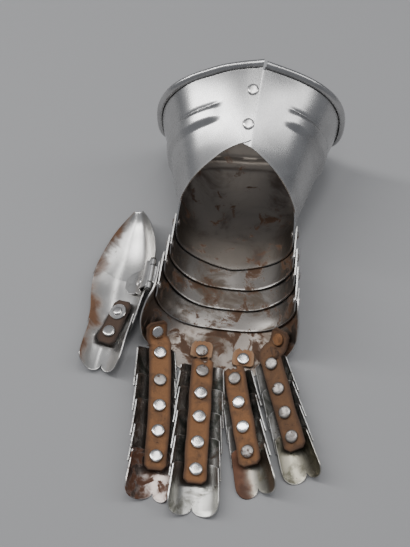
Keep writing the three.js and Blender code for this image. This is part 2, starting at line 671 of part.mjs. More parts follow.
// The leaf on the inside of the thumb: from the barrel over the plates' edge to a round,
// scalloped end.
function thumbLeaf() {
  const middle = (HINGE.from + HINGE.to) / 2;
  const onPlate = (u, y) => {
    const face = (p, q) => thumbPoint(p, y + q - 0.5);
    return thumbPoint(u, y).addScaledVector(outward(face, u, 0.5), -LEAF.inset);
  };
  const form = (u, v) => {
    const reach = 1 - u;
    const round = Math.sqrt(Math.max(1 - clamp((reach - 0.5) / 0.5, 0, 1) ** 2, 0));
    const scallop = 1.2 * Math.abs(Math.sin(Math.PI * reach * 3));
    const half = LEAF.half * lerp(0.2, 0.9, round) + scallop;
    const y = middle + LEAF.shift * smooth(reach, 0, 0.7) + (2 * v - 1) * half;
    const past = (reach - LEAF.bend) / (1 - LEAF.bend);
    if (past > 0) return onPlate(lerp(LEAF.edge, LEAF.end, past), y);
    const barrel = new THREE.Vector3(HINGE.x - 1.2, y, HINGE.z + HINGE.radius - 0.2);
    const top = thumbPoint(1, y).add(new THREE.Vector3(-LEAF.in, 0, LEAF.up));
    const bend = new THREE.QuadraticBezierCurve3(barrel, top, onPlate(LEAF.edge, y));
    return bend.getPoint(reach / LEAF.bend);
  };
  const leaf = sheet(form, () => LEAF.wall, 14, 2);
  const inwards = outward(form, 1 - LEAF.rivet, 0.5).negate();
  const head = [[0, -0.6], [3.2, -0.6], [3.2, 0.5], [2.2, 1.3], [0, 1.3]];
  const gapFrom = HINGE.from + HINGE.end;
  const gapTo = HINGE.to - HINGE.end;
  const body = leaf
    .add(turned(head, form(1 - LEAF.rivet, 0.5), inwards, 10))
    .subtract(bar(hingeBase, hingeAxis, HINGE.radius + 0.5, gapFrom - 1, gapTo + 1, 12))
    .add(knuckle(HINGE.from, gapFrom))
    .add(knuckle(gapTo, HINGE.to))
    .subtract(hingeBore());
  return mesh("thumb_hinge_leaf", body, steel(0xa8a4a0, 0.4));
}

// The leaf on the outside of the hand plate, with the middle knuckle.
function handLeaf() {
  const from = HINGE.from + HINGE.end + GAP;
  const to = HINGE.to - HINGE.end - GAP;
  const face = (u, v) => wristPoint(lerp(-92, -62, u), lerp(from, to, v), 0);
  const body = sheet(moved(face, () => GAP), () => LEAF.hand, 4, 2)
    .add(knuckle(from, to))
    .subtract(hingeBore());
  return mesh("hand_hinge_leaf", body, steel(0xa8a4a0, 0.4));
}

function hingePin() {
  const { from, to, pin } = HINGE;
  const profile = [
    [0, from - 1.5], [1.9, from - 1.5], [1.9, from - GAP], [pin, from - GAP],
    [pin, to + GAP], [1.9, to + GAP], [1.9, to + 1.2], [0, to + 1.2],
  ];
  return mesh("hinge_pin", turned(profile, hingeBase, hingeAxis, 8), steel(0x35312e, 0.6));
}

// ---- the gauntlet ----

const gauntlet = new THREE.Group();
gauntlet.add(cuff());
LAMES.forEach((row, index) => gauntlet.add(lame(index)));
gauntlet.add(handPlate());
for (const finger of FINGERS) {
  rivetStations(finger).forEach((s, index) => gauntlet.add(fingerScale(finger, index)));
  gauntlet.add(fingerStrap(finger));
  if (finger.torn) gauntlet.add(rootTab(finger));
}
gauntlet.add(thumbPlate("thumb_heel_plate", 0xc9c6c2, 0.4));
gauntlet.add(thumbPlate("thumb_base_lame", 0xb3aaa2, 0.45));
gauntlet.add(thumbPlate("thumb_tip_scale", 0xb8b2ab, 0.42));
gauntlet.add(thumbStrap());
gauntlet.add(thumbLeaf());
gauntlet.add(handLeaf());
gauntlet.add(hingePin());

// Everything moves so that the origin is under the middle of the gauntlet.
const box = new THREE.Box3().setFromObject(gauntlet);
const middle = box.getCenter(new THREE.Vector3());
for (const piece of gauntlet.children) piece.geometry.translate(-middle.x, -middle.y, -box.min.z);

export default gauntlet;
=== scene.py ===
# %% [markdown]
# # A plate gauntlet, lying palm side up
# A gauntlet is a steel glove: a cuff for the forearm, a few narrow lames over the wrist, one plate
# over the back of the hand, and rows of little scales that run down leather straps to each finger
# tip. This one lies on its back, so the light falls into the troughs that a hand would fill.
# The frame holds the solids at their real size. Every piece made below stands for one of them.

# %% The frame
import json
import math

import bmesh
import bpy
from mathutils import Matrix, Vector, noise


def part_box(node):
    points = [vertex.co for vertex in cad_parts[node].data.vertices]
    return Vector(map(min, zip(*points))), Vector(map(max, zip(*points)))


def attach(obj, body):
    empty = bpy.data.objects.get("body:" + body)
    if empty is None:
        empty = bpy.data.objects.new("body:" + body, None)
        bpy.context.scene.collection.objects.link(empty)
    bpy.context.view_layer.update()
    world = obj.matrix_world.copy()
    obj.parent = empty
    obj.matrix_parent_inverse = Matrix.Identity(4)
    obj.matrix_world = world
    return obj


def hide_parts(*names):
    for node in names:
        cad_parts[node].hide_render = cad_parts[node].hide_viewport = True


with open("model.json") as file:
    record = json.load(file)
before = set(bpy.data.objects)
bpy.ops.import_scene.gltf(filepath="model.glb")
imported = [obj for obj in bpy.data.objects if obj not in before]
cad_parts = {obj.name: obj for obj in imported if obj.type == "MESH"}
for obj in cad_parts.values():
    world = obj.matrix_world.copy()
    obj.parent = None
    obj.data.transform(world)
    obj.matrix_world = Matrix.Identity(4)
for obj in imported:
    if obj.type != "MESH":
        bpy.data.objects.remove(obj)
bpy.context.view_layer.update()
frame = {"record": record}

MM = 0.001
record = frame["record"]
BODY = {name: body for body, names in record["behaviour"]["bodies"].items() for name in names}

# %% [markdown]
# ## Where the maker's measurements start
# Armour is measured from fixed marks. All sizes below are in millimetres, with +Y from the finger
# tips to the forearm and the height counted from the table. The hinge pin of the thumb is one mark
# that is known both here and in the frame, so it says how far the two are apart.

# %% From millimetres to the frame
HINGE = {"x": -52, "z": 39, "from": 134, "to": 156.5, "end": 4.5, "radius": 2.4, "pin": 1.1}

pin_low, pin_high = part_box("hinge_pin")
pin_mark = Vector((HINGE["x"], (HINGE["from"] + HINGE["to"] - 0.3) / 2, HINGE["z"]))
SHIFT = (Vector(pin_low) + Vector(pin_high)) / 2 - pin_mark * MM
SHIFT.z = 0


def at(point):
    """A point in the maker's millimetres, as a place in the frame in metres."""
    return point * MM + SHIFT


print("frame starts at", [round(value, 4) for value in SHIFT])

# %% [markdown]
# ## The camera
# The gauntlet is seen from in front of the finger tips and well above them. A longish lens keeps
# the cuff, which is twice as far from the lens as its height, from looking too small.

# %% Camera
TURN = math.radians(7.4)
TILT = math.radians(60)
AIM = at(Vector((-16, 150, 40)))
DISTANCE = 0.667
SENSOR_HEIGHT = 36
LENS = 65.85

towards = Vector((math.sin(TURN) * math.cos(TILT), -math.cos(TURN) * math.cos(TILT), math.sin(TILT)))
camera = bpy.data.objects.new("camera", bpy.data.cameras.new("camera"))
camera.data.sensor_fit = "VERTICAL"
camera.data.sensor_height = SENSOR_HEIGHT
camera.data.lens = LENS
camera.location = AIM + towards * DISTANCE
camera.rotation_euler = (-towards).to_track_quat("-Z", "Y").to_euler()
bpy.context.collection.objects.link(camera)
bpy.context.scene.camera = camera

# %% [markdown]
# ## Shapes from tables
# A smith forms each plate over a stake and checks it against a few templates. The same is done
# here: a table has a row for each template, and a smooth curve runs through the rows. The section
# between the templates is a super-ellipse, an oval whose corners can be filled out.

# %% Reading a table
def rows_of(columns, *rows):
    """A table: one row of numbers for each template, under named columns."""
    return [dict(zip(columns.split(), row)) for row in rows]


def read(rows, by, value, key):
    """Column `key` at `value` of column `by`, on a smooth curve through the rows."""
    i = 0
    while i < len(rows) - 2 and value > rows[i + 1][by]:
        i += 1

    def slope(j):
        before, after = rows[max(j - 1, 0)], rows[min(j + 1, len(rows) - 1)]
        return (after[key] - before[key]) / (after[by] - before[by])

    span = rows[i + 1][by] - rows[i][by]
    t = min(max((value - rows[i][by]) / span, 0), 1)
    bow = span * t * (1 - t) * ((1 - t) * slope(i) - t * slope(i + 1))
    return rows[i][key] + (rows[i + 1][key] - rows[i][key]) * t * t * (3 - 2 * t) + bow


def row_at(rows, y):
    """All the other columns at y."""
    return {key: read(rows, "y", y, key) for key in rows[0] if key != "y"}


def lerp(a, b, t):
    return a + (b - a) * t


def smooth(value, low, high):
    t = min(max((value - low) / (high - low), 0), 1)
    return t * t * (3 - 2 * t)


def signed_power(value, power):
    return math.copysign(abs(value) ** power, value)


def outward(form, u, v):
    """The direction out of a sheet's face, away from the hand."""
    step = 0.004
    across = form(min(u + step, 1), v) - form(max(u - step, 0), v)
    up = form(u, min(v + step, 1)) - form(u, max(v - step, 0))
    return up.cross(across).normalized()


# %% [markdown]
# ## Two ways to make metal
# Nearly everything here is either bent sheet or turned on a lathe. A sheet starts as a flat grid,
# whose points are then laid on the plate's inner face. `solidify` gives it its thickness and
# `bevel` takes the sharpness off its edges, as a file does. A turned piece is a profile that
# `spin` carries once round its axis. Both keep the grid's own UV map, which later tells a finish
# where the edges are.

# %% Sheet and turned work
DENTS_PER_MM = 0.045
SHARP = 0.9


def add_sheet(bm, form, columns, rows, wall, finish, back, edge=0.2, dents=0.0, seed=0.0, rolled=1.0):
    """Adds a bent sheet to bm: form(u, v) is its inner face and wall its thickness outwards.

    Past v = rolled the sheet is turned over, so its inner face has the finish of its back.
    """
    uv = bm.loops.layers.uv.get("sheet") or bm.loops.layers.uv.new("sheet")
    part = bmesh.new()
    part.loops.layers.uv.new("sheet")
    bmesh.ops.create_grid(part, x_segments=columns, y_segments=rows, size=0.5, calc_uvs=True)
    turned_over = [face for face in part.faces if face.calc_center_median().y > rolled - 0.5]
    for vert in part.verts:
        vert.co = form(min(max(vert.co.x + 0.5, 0), 1), min(max(vert.co.y + 0.5, 0), 1))
    part.normal_update()
    if dents:
        start = Vector((seed, 0, 0))
        shove = [
            (vert, vert.normal * noise.noise(vert.co * DENTS_PER_MM + start)) for vert in part.verts
        ]
        for vert, push in shove:
            vert.co += push * dents
    inner = set(part.faces).difference(turned_over)
    bmesh.ops.solidify(part, geom=part.faces[:] + part.edges[:] + part.verts[:], thickness=wall)
    for face in part.faces:
        face.material_index = finish if face in inner else back
    if edge:
        part.normal_update()
        sharp = [e for e in part.edges if e.is_manifold and e.calc_face_angle() > SHARP]
        bmesh.ops.bevel(
            part, geom=sharp, offset=edge, segments=2, profile=0.5, affect="EDGES", material=-1,
        )
    join(bm, part)


def add_turned(bm, profile, base, direction, finish=0, steps=36):
    """Adds a turned piece: each row of the profile is a radius and a height along direction."""
    bm.loops.layers.uv.get("sheet") or bm.loops.layers.uv.new("sheet")
    part = bmesh.new()
    part.loops.layers.uv.new("sheet")
    points = [part.verts.new((radius, 0, height)) for radius, height in profile]
    for a, b in zip(points, points[1:]):
        part.edges.new((a, b))
    bmesh.ops.spin(
        part, geom=part.verts[:] + part.edges[:], cent=(0, 0, 0), axis=(0, 0, 1), dvec=(0, 0, 0),
        angle=math.tau, steps=steps, use_merge=True, use_duplicate=False,
    )
    bmesh.ops.remove_doubles(part, verts=part.verts, dist=1e-4)
    bmesh.ops.recalc_face_normals(part, faces=part.faces)
    turn = Vector((0, 0, 1)).rotation_difference(direction).to_matrix().to_4x4()
    bmesh.ops.transform(part, matrix=Matrix.Translation(base) @ turn, verts=part.verts)
    for face in part.faces:
        face.material_index = finish
    join(bm, part)


def join(bm, part):
    """Puts a finished part into bm."""
    mesh = bpy.data.meshes.new("part")
    part.to_mesh(mesh)
    part.free()
    bm.from_mesh(mesh)
    bpy.data.meshes.remove(mesh)


def finish_piece(bm, node, materials, angle=40):
    """Makes the object that stands for a solid, in metres, on that solid's body."""
    bmesh.ops.scale(bm, vec=(MM, MM, MM), verts=bm.verts)
    bmesh.ops.translate(bm, vec=SHIFT, verts=bm.verts)
    bm.normal_update()
    for face in bm.faces:
        face.smooth = True
    for edge in bm.edges:
        edge.smooth = edge.is_manifold and edge.calc_face_angle() < math.radians(angle)
    mesh = bpy.data.meshes.new(node)
    bm.to_mesh(mesh)
    bm.free()
    for material in materials:
        mesh.materials.append(material)
    piece = bpy.data.objects.new(f"{node}_piece", mesh)
    bpy.context.collection.objects.link(piece)
    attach(piece, BODY[node])
    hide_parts(node)
    print(node, len(mesh.polygons), "faces")


# %% [markdown]
# ## Shared effects as node groups
# Rust, stains, scratches and worn edges come back on nearly every plate, at other sizes and in
# other colours. So each effect is a node group, built once. A group only works out masks; the
# material that uses it decides what the mask means. All of them read Object coordinates, which
# stay with the metal when the plate moves.

# %% Small helpers for node trees
def add_node(tree, kind, inputs=None, **settings):
    made = tree.nodes.new(kind)
    for key, value in settings.items():
        setattr(made, key, value)
    for key, value in (inputs or {}).items():
        if isinstance(value, bpy.types.NodeSocket):
            tree.links.new(value, made.inputs[key])
        else:
            made.inputs[key].default_value = value
    return made


def maths(tree, operation, a, b=0.0):
    return add_node(tree, "ShaderNodeMath", {0: a, 1: b}, operation=operation).outputs[0]


def ramp(tree, value, low, high, to_low=0.0, to_high=1.0):
    inputs = {"Value": value, "From Min": low, "From Max": high, "To Min": to_low, "To Max": to_high}
    return add_node(tree, "ShaderNodeMapRange", inputs, interpolation_type="SMOOTHSTEP").outputs[0]


def mix(tree, factor, a, b):
    a, b = ((*color, 1) if isinstance(color, tuple) else color for color in (a, b))
    return add_node(tree, "ShaderNodeMix", {0: factor, 6: a, 7: b}, data_type="RGBA").outputs[2]


def noise_at(tree, place, scale, detail=4.0, roughness=0.55, distortion=0.0):
    inputs = {
        "Vector": place, "Scale": scale, "Detail": detail, "Roughness": roughness,
        "Distortion": distortion,
    }
    return add_node(tree, "ShaderNodeTexNoise", inputs).outputs[0]


def new_group(name, inputs, outputs):
    tree = bpy.data.node_groups.new(name, "ShaderNodeTree")
    for label, kind, value in inputs:
        socket = tree.interface.new_socket(name=label, in_out="INPUT", socket_type=kind)
        socket.default_value = value
    for label in outputs:
        tree.interface.new_socket(name=label, in_out="OUTPUT", socket_type="NodeSocketFloat")
    start = tree.nodes.new("NodeGroupInput")
    end = tree.nodes.new("NodeGroupOutput")
    return tree, start.outputs, end


def use_group(tree, group, **inputs):
    made = add_node(tree, "ShaderNodeGroup", node_tree=group)
    for key, value in inputs.items():
        name = key.replace("_", " ").capitalize()
        if isinstance(value, bpy.types.NodeSocket):
            tree.links.new(value, made.inputs[name])
        else:
            made.inputs[name].default_value = value
    return made.outputs


# %% [markdown]
# ### Patches and specks
# Corrosion has two scales. It spreads in patches with ragged borders, and inside and round them it
# sits in fine pits. Large noise with much detail gives the patches and a threshold gives them
# their border. The specks are a much finer noise, let through more easily near a patch.

# %% Weathering group
FLOAT = "NodeSocketFloat"
VECTOR = "NodeSocketVector"


def weathering_group():
    inputs = [
        ("Seed", VECTOR, (0, 0, 0)), ("Patch scale", FLOAT, 40.0), ("Patches", FLOAT, 0.4),
        ("Border", FLOAT, 0.1), ("Speck scale", FLOAT, 600.0), ("Specks", FLOAT, 0.4),
    ]
    tree, start, end = new_group("weathering", inputs, ["Patches", "Specks", "Cloud"])
    place = add_node(tree, "ShaderNodeTexCoord").outputs["Object"]
    sum_of = {0: place, 1: start["Seed"]}
    moved = add_node(tree, "ShaderNodeVectorMath", sum_of, operation="ADD").outputs[0]
    cloud = noise_at(tree, moved, start["Patch scale"], 9.0, 0.62, 0.6)
    low = maths(tree, "SUBTRACT", 0.72, maths(tree, "MULTIPLY", start["Patches"], 0.45))
    patches = ramp(tree, cloud, low, maths(tree, "ADD", low, start["Border"]))
    fine = noise_at(tree, moved, start["Speck scale"], 3.0, 0.6)
    near = maths(tree, "MULTIPLY", ramp(tree, cloud, 0.35, 0.65), start["Specks"])
    edge = maths(tree, "SUBTRACT", 0.78, maths(tree, "MULTIPLY", near, 0.38))
    specks = ramp(tree, fine, edge, maths(tree, "ADD", edge, 0.05))
    tree.links.new(patches, end.inputs["Patches"])
    tree.links.new(specks, end.inputs["Specks"])
    tree.links.new(cloud, end.inputs["Cloud"])
    return tree


weathering = weathering_group()

# %% [markdown]
# ### Brushing
# Steel that was rubbed down with emery shows long fine lines along the stroke. Noise that is
# squeezed in one direction does that. The lines run along the arm, as the strokes did.

# %% Brushing group
def brushing_group():
    tree, start, end = new_group("brushing", [("Stretch", VECTOR, (900, 30, 900))], ["Lines"])
    place = add_node(tree, "ShaderNodeTexCoord").outputs["Object"]
    long = add_node(tree, "ShaderNodeVectorMath", {0: place, 1: start["Stretch"]}, operation="MULTIPLY")
    lines = noise_at(tree, long.outputs[0], 1.0, 3.0, 0.6)
    tree.links.new(lines, end.inputs["Lines"])
    return tree


brushing = brushing_group()

# %% [markdown]
# ### Edges
# The rim of a plate is rubbed by everything that it touches, so it is brighter and a little
# smoother; here only its colour is made brighter. The grid's UV map runs from 0 to 1 over the
# sheet, so the distance to the nearest border needs no measuring.

# %% Edge group
def edge_group():
    inputs = [("Across", FLOAT, 0.02), ("Along", FLOAT, 0.02)]
    tree, start, end = new_group("sheet edge", inputs, ["Edge", "U", "V"])
    uv = add_node(tree, "ShaderNodeUVMap", uv_map="sheet").outputs[0]
    split = add_node(tree, "ShaderNodeSeparateXYZ", {0: uv}).outputs
    sides = []
    for value, width in ((split[0], start["Across"]), (split[1], start["Along"])):
        to_side = maths(tree, "MINIMUM", value, maths(tree, "SUBTRACT", 1.0, value))
        sides.append(maths(tree, "DIVIDE", to_side, width))
    nearest = maths(tree, "MINIMUM", sides[0], sides[1])
    tree.links.new(ramp(tree, nearest, 0.0, 1.0, 1.0, 0.0), end.inputs["Edge"])
    tree.links.new(split[0], end.inputs["U"])
    tree.links.new(split[1], end.inputs["V"])
    return tree


sheet_edge = edge_group()

# %% [markdown]
# ## Steel
# One recipe makes every steel here. Clean metal is mixed with a stain where the patches are, then
# with rust where the rust patches and specks are. Rust isn't a metal any more, so it also turns the
# metallic value down and the roughness up, and it stands a little proud of the surface.

# %% Steel
def new_material(name):
    material = bpy.data.materials.new(name)
    material.use_nodes = True
    tree = material.node_tree
    surface = tree.nodes["Principled BSDF"]
    return material, tree, surface


def steel(
    name, clean, stain, rust, stained=0.4, rusted=0.3, specks=0.4, smoothness=0.3, dull=0.6, seed=0.0,
    patch_scale=45.0, rust_scale=70.0, edge=0.3, border=0.18, brush=0.0, bump=0.3, lean=None,
):
    material, tree, surface = new_material(name)
    stains = use_group(
        tree, weathering, seed=(seed, seed * 0.7, 0), patch_scale=patch_scale, patches=stained,
        border=border, specks=specks * 0.8, speck_scale=420.0,
    )
    rusts = use_group(
        tree, weathering, seed=(seed + 3, 0, seed), patch_scale=rust_scale, patches=rusted, border=0.08,
        specks=specks, speck_scale=900.0,
    )
    rims = use_group(tree, sheet_edge, across=0.03, along=0.03)
    rust_mask = maths(tree, "MAXIMUM", rusts["Patches"], maths(tree, "MULTIPLY", rusts["Specks"], 0.85))
    if lean:
        rust_mask = maths(tree, "MAXIMUM", rust_mask, leaning(tree, rims, stains["Cloud"], *lean))
    stain_specks = maths(tree, "MULTIPLY", stains["Specks"], 0.6)
    stain_mask = maths(tree, "MAXIMUM", stains["Patches"], stain_specks)
    tone = mix(tree, ramp(tree, stains["Cloud"], 0.3, 0.75), clean, tuple(0.72 * c for c in clean))
    metal = mix(tree, stain_mask, tone, stain)
    bright = mix(tree, maths(tree, "MULTIPLY", rims["Edge"], edge), metal, (0.85, 0.84, 0.82))
    ruddy = mix(tree, ramp(tree, rusts["Cloud"], 0.35, 0.7), rust, tuple(0.45 * c for c in rust))
    color = mix(tree, rust_mask, bright, ruddy)
    tree.links.new(color, surface.inputs["Base Color"])
    tree.links.new(ramp(tree, rust_mask, 0.0, 1.0, 1.0, 0.15), surface.inputs["Metallic"])
    worn = maths(tree, "MAXIMUM", rust_mask, maths(tree, "MULTIPLY", stain_mask, 0.6))
    rough = ramp(tree, worn, 0.0, 1.0, smoothness, dull)
    swell = maths(tree, "MULTIPLY", stains["Cloud"], 0.5)
    height = maths(tree, "ADD", maths(tree, "MULTIPLY", worn, 0.6), swell)
    if brush:
        lines = use_group(tree, brushing)["Lines"]
        strokes = maths(tree, "MULTIPLY", maths(tree, "SUBTRACT", lines, 0.5), brush)
        rough = maths(tree, "ADD", rough, strokes)
        height = maths(tree, "ADD", height, maths(tree, "MULTIPLY", lines, brush))
    tree.links.new(rough, surface.inputs["Roughness"])
    relief = add_node(tree, "ShaderNodeBump", {"Height": height, "Strength": bump, "Distance": 0.0004})
    tree.links.new(relief.outputs[0], surface.inputs["Normal"])
    return material


def leaning(tree, rims, cloud, along, low, high):
    """A mask that grows from low to high along U or V, with a border broken up by the cloud."""
    ragged = maths(tree, "MULTIPLY", maths(tree, "SUBTRACT", cloud, 0.5), 0.5)
    return ramp(tree, maths(tree, "ADD", rims[along], ragged), low, high)


# %% [markdown]
# ## Leather
# The straps are buff leather, suede side up. Suede has no gloss but a soft sheen, its colour is
# uneven, and handling has darkened the edges and the places round the rivets. Here the edges are
# darkened, and the dark patches lie at random.

# %% Leather
def leather(name, light, dark, edge_color, seed=0.0, edge=0.8, patches=0.45):
    material, tree, surface = new_material(name)
    marks = use_group(
        tree, weathering, seed=(seed, 1.3, seed * 0.4), patch_scale=85.0, patches=patches, border=0.3,
        speck_scale=700.0, specks=0.55,
    )
    rims = use_group(tree, sheet_edge, across=0.2, along=0.05)
    place = add_node(tree, "ShaderNodeTexCoord").outputs["Object"]
    nap = noise_at(tree, place, 1500.0, 4.0, 0.7)
    body = mix(tree, ramp(tree, nap, 0.35, 0.65), light, tuple(0.78 * c for c in light))
    body = mix(tree, marks["Patches"], body, dark)
    body = mix(tree, maths(tree, "MULTIPLY", marks["Specks"], 0.7), body, tuple(0.5 * c for c in dark))
    body = mix(tree, maths(tree, "MULTIPLY", rims["Edge"], edge), body, edge_color)
    tree.links.new(body, surface.inputs["Base Color"])
    surface.inputs["Roughness"].default_value = 0.9
    surface.inputs["Sheen Weight"].default_value = 0.06
    surface.inputs["Sheen Roughness"].default_value = 0.5
    height = maths(tree, "ADD", nap, maths(tree, "MULTIPLY", marks["Cloud"], 1.5))
    relief = add_node(tree, "ShaderNodeBump", {"Height": height, "Strength": 0.55, "Distance": 0.0005})
    tree.links.new(relief.outputs[0], surface.inputs["Normal"])
    return material

# %% [markdown]
# ## The metals and leathers of this glove
# The cuff was cleaned and polished at some time. The inside of the wrist and hand never was, so it
# kept its brown patina with rust blooming through. Every finger has aged in its own way.

# %% Plate finishes
BARE = (0.56, 0.555, 0.55)
cuff_steel = steel(
    "polished steel", BARE, (0.34, 0.32, 0.30), (0.17, 0.09, 0.05), stained=0.12, rusted=0.02,
    specks=0.16, smoothness=0.27, dull=0.42, seed=2.0, patch_scale=28.0, brush=0.05, bump=0.06,
)
cuff_inside = steel(
    "cuff inside", (0.25, 0.22, 0.19), (0.12, 0.095, 0.08), (0.23, 0.12, 0.065), stained=0.5,
    rusted=0.34, specks=0.5, smoothness=0.42, dull=0.75, seed=5.0, patch_scale=30.0, edge=0.1,
)
lame_inside = steel(
    "wrist plate inside", (0.29, 0.27, 0.25), (0.13, 0.105, 0.085), (0.18, 0.09, 0.045),
    stained=0.58, rusted=0.38, specks=0.85, smoothness=0.36, dull=0.7, seed=8.0, edge=0.35,
)
hand_inside = steel(
    "hand plate inside", (0.30, 0.265, 0.235), (0.14, 0.105, 0.08), (0.17, 0.085, 0.045),
    stained=0.64, rusted=0.5, specks=0.8, smoothness=0.4, dull=0.75, seed=11.0, patch_scale=38.0,
    edge=0.3,
)
plate_outside = steel(
    "plate outside", (0.45, 0.44, 0.42), (0.20, 0.18, 0.16), (0.2, 0.1, 0.05), stained=0.35,
    rusted=0.12, specks=0.3, smoothness=0.32, dull=0.6, seed=14.0,
)

# %% [markdown]
# ### Scales
# The scales are thin and were handled most. Bright metal, black-green corrosion and red rust lie
# next to each other, and the tips differ: a rusty index, a pale middle, a ring finger with a rust
# streak on its left half and an olive little finger.

# %% Scale finishes
GREEN_BLACK = (0.065, 0.068, 0.058)
RED = (0.20, 0.085, 0.045)
scale_steel = steel(
    "scale steel", (0.46, 0.45, 0.43), GREEN_BLACK, (0.13, 0.085, 0.055), stained=0.62, rusted=0.3,
    specks=0.7, smoothness=0.3, dull=0.65, seed=17.0, patch_scale=62.0, rust_scale=95.0, edge=0.45,
)
index_tip = steel(
    "rusted tip", (0.42, 0.36, 0.33), (0.13, 0.08, 0.06), RED, stained=0.6, rusted=0.5, specks=0.85,
    smoothness=0.35, dull=0.72, seed=21.0, patch_scale=80.0, rust_scale=80.0, edge=0.35,
)
middle_tip = steel(
    "pale tip", (0.43, 0.425, 0.40), (0.16, 0.155, 0.13), (0.14, 0.1, 0.06), stained=0.46,
    rusted=0.16, specks=0.55, smoothness=0.3, dull=0.6, seed=24.0, patch_scale=70.0, edge=0.45,
)
ring_tip = steel(
    "streaked tip", (0.42, 0.40, 0.34), (0.15, 0.13, 0.085), RED, stained=0.44, rusted=0.2,
    specks=0.55, smoothness=0.3, dull=0.62, seed=27.0, patch_scale=65.0, edge=0.4,
    lean=("U", 0.5, 0.2),
)
little_tip = steel(
    "olive tip", (0.32, 0.30, 0.24), (0.07, 0.068, 0.045), (0.13, 0.085, 0.045), stained=0.62,
    rusted=0.22, specks=0.6, smoothness=0.32, dull=0.62, seed=31.0, patch_scale=60.0, edge=0.3,
)
thumb_steel = steel(
    "thumb steel", (0.70, 0.69, 0.67), (0.33, 0.29, 0.25), (0.19, 0.095, 0.05), stained=0.22,
    rusted=0.1, specks=0.34, smoothness=0.3, dull=0.6, seed=34.0, patch_scale=42.0, edge=0.4,
    lean=("U", 0.16, -0.02),
)

# %% [markdown]
# ### Rivets, hinge and leather
# Rivet heads are what hands and cloth rub against. Most are bright and scratched, a few have gone
# dull. The leather is thick and tanned orange-brown, and the piece in the thumb has gone dark.

# %% Small part finishes
disc_bright = steel(
    "rubbed rivet", (0.74, 0.72, 0.70), (0.36, 0.33, 0.30), (0.2, 0.12, 0.08), stained=0.25,
    rusted=0.05, specks=0.35, smoothness=0.24, dull=0.5, seed=37.0, patch_scale=160.0,
    rust_scale=200.0, edge=0.2, brush=0.1,
)
disc_dull = steel(
    "dull rivet", (0.27, 0.235, 0.21), (0.11, 0.09, 0.078), (0.17, 0.09, 0.055), stained=0.6,
    rusted=0.35, specks=0.6, smoothness=0.4, dull=0.7, seed=40.0, patch_scale=150.0,
    rust_scale=180.0, edge=0.2,
)
disc_rusted = steel(
    "rusted rivet", (0.34, 0.26, 0.2), (0.2, 0.11, 0.06), (0.33, 0.15, 0.06), stained=0.5,
    rusted=0.75, specks=0.7, smoothness=0.5, dull=0.8, seed=43.0, patch_scale=150.0,
    rust_scale=130.0, edge=0.1,
)
hinge_steel = steel(
    "hinge steel", (0.66, 0.65, 0.63), (0.24, 0.22, 0.2), (0.15, 0.1, 0.07), stained=0.3,
    rusted=0.08, specks=0.35, smoothness=0.28, dull=0.55, seed=46.0, patch_scale=120.0, edge=0.2,
)
dark_iron = steel(
    "dark iron", (0.11, 0.105, 0.1), (0.045, 0.042, 0.04), (0.11, 0.06, 0.04), stained=0.5,
    rusted=0.3, specks=0.4, smoothness=0.45, dull=0.7, seed=49.0, patch_scale=200.0, edge=0.05,
)
tan_leather = leather(
    "tan suede", (0.27, 0.125, 0.052), (0.105, 0.055, 0.03), (0.075, 0.04, 0.024), seed=3.0,
    patches=0.62,
)
stained_tan = leather(
    "stained suede", (0.19, 0.095, 0.045), (0.085, 0.047, 0.028), (0.07, 0.037, 0.022), seed=9.0,
    patches=0.62,
)
torn_tan = leather(
    "torn suede", (0.33, 0.17, 0.085), (0.13, 0.08, 0.05), (0.36, 0.24, 0.15), seed=15.0, edge=0.5,
)
dark_leather = leather(
    "dark leather", (0.085, 0.052, 0.036), (0.045, 0.028, 0.02), (0.03, 0.02, 0.015), seed=21.0,
)

# %% [markdown]
# ## Rivet heads
# A flat head is a disc with a filed border, a snap head is a low dome. Each is a profile of a
# radius and a height, in millimetres, that starts and ends on the axis.

# %% Rivet profiles
def dome(radius, base, height, steps=7):
    turns = [math.pi / 2 * i / steps for i in range(steps + 1)]
    return [(radius * math.cos(turn), base + height * math.sin(turn)) for turn in turns]


def disc(radius, base, height):
    """A flat head with a filed border, from its shank outwards."""
    return [
        (radius - 0.15, base), (radius, base + 0.2), (radius, base + height * 0.45),
        (radius - 0.3, base + height * 0.82), (radius - 0.8, base + height),
        (radius * 0.5, base + height + 0.12), (0, base + height + 0.15),
    ]


def mirrored(profile):
    """The same head, on the other end of the shank."""
    return [(radius, -height) for radius, height in reversed(profile)]


# %% [markdown]
# ## The wrist and the hand plate
# The back of the hand and the wrist are one form, drawn in steps: each lame lies inside the next
# one, so they slide over each other when the wrist bends. The form is an arch that lies on its
# back here. Its section is measured at six places along the hand.

# %% Wrist and hand form
PLATE = 1.1
GAP = 0.3
STEP = {"side": 1.8, "back": 2.5}
PIVOT_Y = [189, 171, 157, 138.3]
PIVOT_SHANK = 1.5
HAND_ROWS = rows_of(
    "y centre half depth full",
    (92, -1, 49.5, 12, 5.5),
    (106, -2.4, 52, 22, 4.8),
    (118, -3, 53.3, 34, 3.2),
    (132, -0.4, 48.6, 38, 2.4),
    (144, 0, 48, 38, 2.25),
    (200, 0, 48, 38, 2.25),
)


def wrist_point(angle, y, nest):
    """A point of the outer face, nest plates in. The angle is 0 at the middle of the back."""
    row = row_at(HAND_ROWS, y)
    power = 2 / row["full"]
    turn = math.radians(angle)
    half = row["half"] - nest * STEP["side"]
    drop = row["depth"] - nest * STEP["back"]
    x = row["centre"] + half * signed_power(math.sin(turn), power)
    return Vector((x, y, row["depth"] - drop * signed_power(math.cos(turn), power)))


def inside_of(form, amount):
    """The same face, moved inwards by amount, a number or a function of u and v."""
    by = amount if callable(amount) else lambda u, v: amount
    return lambda u, v: form(u, v) - outward(form, u, v) * by(u, v)


# %% [markdown]
# ### Pivots
# One rivet on each side holds a lame to its neighbour. On the thumb side of the hand plate the
# head is filed flush, because the leaf of the hinge lies over it.

